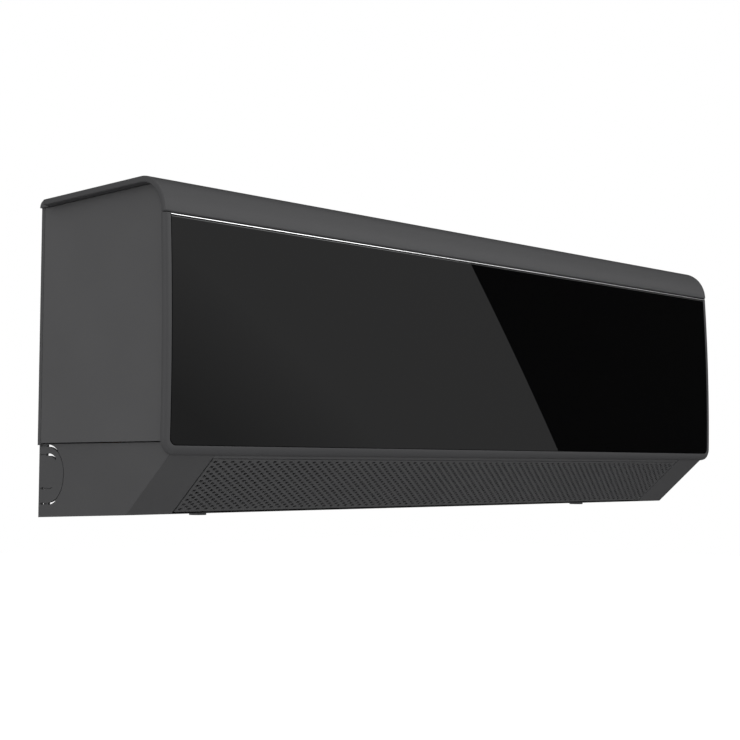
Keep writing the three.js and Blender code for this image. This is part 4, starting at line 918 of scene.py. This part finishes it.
class UNIT_OT_inner_mouldings(bpy.types.Operator):
    """Drain pan with its plug, motor clamp, display, button and terminal block"""

    bl_idname = "indoor_unit.inner_mouldings"
    bl_label = "Build Inner Mouldings"

    def execute(self, context):
        names = {
            "drain_pan": "condensate_tray", "motor_clamp": "motor_strap",
            "display_module": "display_block", "power_button": "push_button",
            "terminal_block": "wiring_block", "drain_plug": "tray_plug",
        }
        for node, name in names.items():
            softened(node, name, finish_for(finish_slot(node)), sizes().edge_round)
        return {"FINISHED"}


class UNIT_OT_inner_finishes(bpy.types.Operator):
    """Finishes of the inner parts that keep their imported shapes"""

    bl_idname = "indoor_unit.inner_finishes"
    bl_label = "Finish Inner Parts"

    def execute(self, context):
        for name, node in frame["nodes"].items():
            if node.hide_render:
                continue
            node.data.materials.clear()
            node.data.materials.append(finish_for(finish_slot(name)))
        return {"FINISHED"}


# ------------------------------------------------------------------ stage


FLOOR_LEVEL, FLOOR_HALF, FLOOR_GREY = -0.75, 8, 0.7
LIGHT_ON_MATT, LIGHT_MIRRORED = 1.3, 0.015
CAMERA_PLACE = Vector((-1.112131, -1.126093, -0.102463))
CAMERA_TURN = (0.790257, 0.069004, -0.002808)  # yaw, pitch and roll
CAMERA_LENS, CAMERA_SENSOR = 67.876, 36
CARD_PLANE = -2.5  # plane of the reflectors in front of the glass
CARD_EDGE = ((-33.4, 256), (109.3, 65.9))  # on the glass, where the grey one ends
CARD_EDGE_STEPS, CARD_LEFT = 22, 0.9
GREY_LEVEL, STRIP_LEVEL, ROOM_LEVEL = 0.52, 4.5, 0.6

# Fades of a card's glow: direction, start, end, and the share of the glow left at both.
GREY_FADES = (((1, 0, 0), 1.37, 3.1, 1, 0.72), ((1, 0, 0.896), 1.376, 2.06, 0.57, 1))
STRIP_FADES = (((1, 0, 0), 1.65, 1.8, 0.75, 1), ((1, 0, 0), 2.74, 2.84, 1, 0.33))


def mirrored_on_card(x, height):
    """The point of the card plane that the camera sees in the bowed glass at a place on it."""
    at = place(x, front_at(height), height)
    facing = Vector((0, -1, (height - FRONT_BULGE_HEIGHT) / FRONT_BOW_RADIUS)).normalized()
    ray = (at - CAMERA_PLACE).reflect(facing)
    return at + ray * (CARD_PLANE - at.y) / ray.y


def emission_object(name, corners, level, fades=()):
    """A glowing sheet that the camera doesn't see, with its fades as in GREY_FADES."""
    bm = bmesh.new()
    bm.faces.new([bm.verts.new(corner) for corner in corners])
    mesh = bpy.data.meshes.new(name)
    bm.to_mesh(mesh)
    bm.free()
    finish, nodes, links = base_material(name)
    nodes.remove(nodes["Principled BSDF"])
    glow = nodes.new("ShaderNodeEmission")
    where = nodes.new("ShaderNodeTexCoord").outputs["Object"]
    strength = level
    for direction, start, end, share_at_start, share_at_end in fades:
        along = nodes.new("ShaderNodeVectorMath")
        along.operation = "DOT_PRODUCT"
        links.new(where, along.inputs[0])
        along.inputs[1].default_value = direction
        fade = nodes.new("ShaderNodeMapRange")
        links.new(along.outputs["Value"], fade.inputs["Value"])
        fade.inputs["From Min"].default_value, fade.inputs["From Max"].default_value = start, end
        fade.inputs["To Min"].default_value = share_at_start
        fade.inputs["To Max"].default_value = share_at_end
        strength = math_node(finish.node_tree, "MULTIPLY", fade.outputs["Result"], strength)
    if fades:
        links.new(strength, glow.inputs["Strength"])
    else:
        glow.inputs["Strength"].default_value = level
    links.new(glow.outputs["Emission"], nodes["Material Output"].inputs["Surface"])
    mesh.materials.append(finish)
    card = bpy.data.objects.new(name, mesh)
    bpy.context.scene.collection.objects.link(card)
    card.visible_camera = card.visible_diffuse = card.visible_shadow = False


class UNIT_OT_stage(bpy.types.Operator):
    """Floor, soft light, reflectors and camera"""

    bl_idname = "indoor_unit.stage"
    bl_label = "Build Stage"

    def execute(self, context):
        self.floor()
        self.backdrop(context.scene)
        self.camera(context.scene)
        self.reflectors()
        context.scene.view_settings.view_transform = "Standard"
        return {"FINISHED"}

    @staticmethod
    def reflectors():
        """Cards for the glass and the bright strip, and two that soften the room's light."""
        (x_top, top), (x_bottom, bottom) = CARD_EDGE
        edge = []
        for i in range(-1, CARD_EDGE_STEPS + 9):  # on past the edge's ends, to the card's corners
            t = i / CARD_EDGE_STEPS
            edge.append(mirrored_on_card(x_top + (x_bottom - x_top) * t, top + (bottom - top) * t))
        outline = [(CARD_LEFT, CARD_PLANE, edge[0].z), (CARD_LEFT, CARD_PLANE, edge[-1].z)]
        emission_object("grey_card", [*outline, *reversed(edge)], GREY_LEVEL, GREY_FADES)
        emission_object("strip_card", [
            (0.6, CARD_PLANE, 1), (5, CARD_PLANE, 1), (5, CARD_PLANE, 2.4), (0.6, CARD_PLANE, 2.4)],
            STRIP_LEVEL, STRIP_FADES)
        emission_object("top_card", [
            (-2.5, -2.2, 2.2), (3.5, -2.2, 2.2), (3.5, 0.6, 2.9), (-2.5, 0.6, 2.9)], ROOM_LEVEL)
        emission_object("side_card", [
            (-3.2, -2.2, -0.4), (-3.2, 1.2, -0.4), (-3.2, 1.2, 2.2), (-3.2, -2.2, 2.2)], ROOM_LEVEL)

    @staticmethod
    def floor():
        """A pale floor under the unit that shines white to the camera only."""
        bm = bmesh.new()
        bmesh.ops.create_grid(bm, x_segments=1, y_segments=1, size=FLOOR_HALF,
                              matrix=Matrix.Translation((0, 0, FLOOR_LEVEL)))
        mesh = bpy.data.meshes.new("pale_floor")
        bm.to_mesh(mesh)
        bm.free()
        finish, nodes, links = base_material("pale_floor")
        shader = nodes["Principled BSDF"]
        shader.inputs["Base Color"].default_value = (FLOOR_GREY, FLOOR_GREY, FLOOR_GREY, 1)
        shader.inputs["Roughness"].default_value = 0.9
        shader.inputs["Specular IOR Level"].default_value = 0
        shader.inputs["Emission Color"].default_value = (1, 1, 1, 1)
        links.new(nodes.new("ShaderNodeLightPath").outputs["Is Camera Ray"],
                  shader.inputs["Emission Strength"])
        mesh.materials.append(finish)
        floor = bpy.data.objects.new("pale_floor", mesh)
        bpy.context.scene.collection.objects.link(floor)
        floor.visible_glossy = False

    @staticmethod
    def backdrop(scene):
        """White behind the unit, a little brighter as light on matt faces, dark when mirrored."""
        world = bpy.data.worlds.new("studio")
        scene.world = world
        world.use_nodes = True
        nodes, links = world.node_tree.nodes, world.node_tree.links
        path = nodes.new("ShaderNodeLightPath")
        on_unit = nodes.new("ShaderNodeMapRange")
        links.new(path.outputs["Is Glossy Ray"], on_unit.inputs["Value"])
        on_unit.inputs["To Min"].default_value = LIGHT_ON_MATT
        on_unit.inputs["To Max"].default_value = LIGHT_MIRRORED
        level = nodes.new("ShaderNodeMix")
        links.new(path.outputs["Is Camera Ray"], level.inputs["Factor"])
        links.new(on_unit.outputs["Result"], level.inputs["A"])
        level.inputs["B"].default_value = 1
        back = nodes["Background"]
        back.inputs["Color"].default_value = (1, 1, 1, 1)
        links.new(level.outputs["Result"], back.inputs["Strength"])

    @staticmethod
    def camera(scene):
        data = bpy.data.cameras.new("view")
        data.lens = CAMERA_LENS
        data.sensor_width = CAMERA_SENSOR
        yaw, pitch, roll = CAMERA_TURN
        turn = Matrix.Rotation(-yaw, 4, "Z") @ Matrix.Rotation(math.pi / 2 + pitch, 4, "X")
        turn = turn @ Matrix.Rotation(-roll, 4, "Z")
        camera = bpy.data.objects.new("view", data)
        camera.matrix_world = Matrix.Translation(CAMERA_PLACE) @ turn
        scene.collection.objects.link(camera)
        scene.camera = camera


# ------------------------------------------------------------------ add-on


OPERATORS = (
    UNIT_OT_casing, UNIT_OT_chassis, UNIT_OT_top_cover, UNIT_OT_front_panel, UNIT_OT_glass,
    UNIT_OT_flap, UNIT_OT_vanes, UNIT_OT_filter, UNIT_OT_fan, UNIT_OT_pipes, UNIT_OT_sheet_metal,
    UNIT_OT_inner_mouldings, UNIT_OT_inner_finishes, UNIT_OT_stage,
)


class UNIT_PT_builder(bpy.types.Panel):
    """Builders of the indoor unit"""

    bl_idname = "UNIT_PT_builder"
    bl_label = "Indoor Unit"
    bl_space_type = "VIEW_3D"
    bl_region_type = "UI"
    bl_category = "Indoor Unit"

    def draw(self, context):
        for settings in (context.scene.indoor_unit_sizes, context.scene.indoor_unit_colours):
            box = self.layout.box()
            for name in settings.__annotations__:
                box.prop(settings, name)
        for operator in OPERATORS:
            self.layout.operator(operator.bl_idname)


CLASSES = (IndoorUnitSizes, IndoorUnitColours, *OPERATORS, UNIT_PT_builder)


def register():
    for item in CLASSES:
        bpy.utils.register_class(item)
    bpy.types.Scene.indoor_unit_sizes = PointerProperty(type=IndoorUnitSizes)
    bpy.types.Scene.indoor_unit_colours = PointerProperty(type=IndoorUnitColours)


def unregister():
    del bpy.types.Scene.indoor_unit_colours
    del bpy.types.Scene.indoor_unit_sizes
    for item in reversed(CLASSES):
        bpy.utils.unregister_class(item)


def main():
    register()
    for operator in OPERATORS:
        group, name = operator.bl_idname.split(".")
        getattr(getattr(bpy.ops, group), name)()


if __name__ == "__main__":
    main()
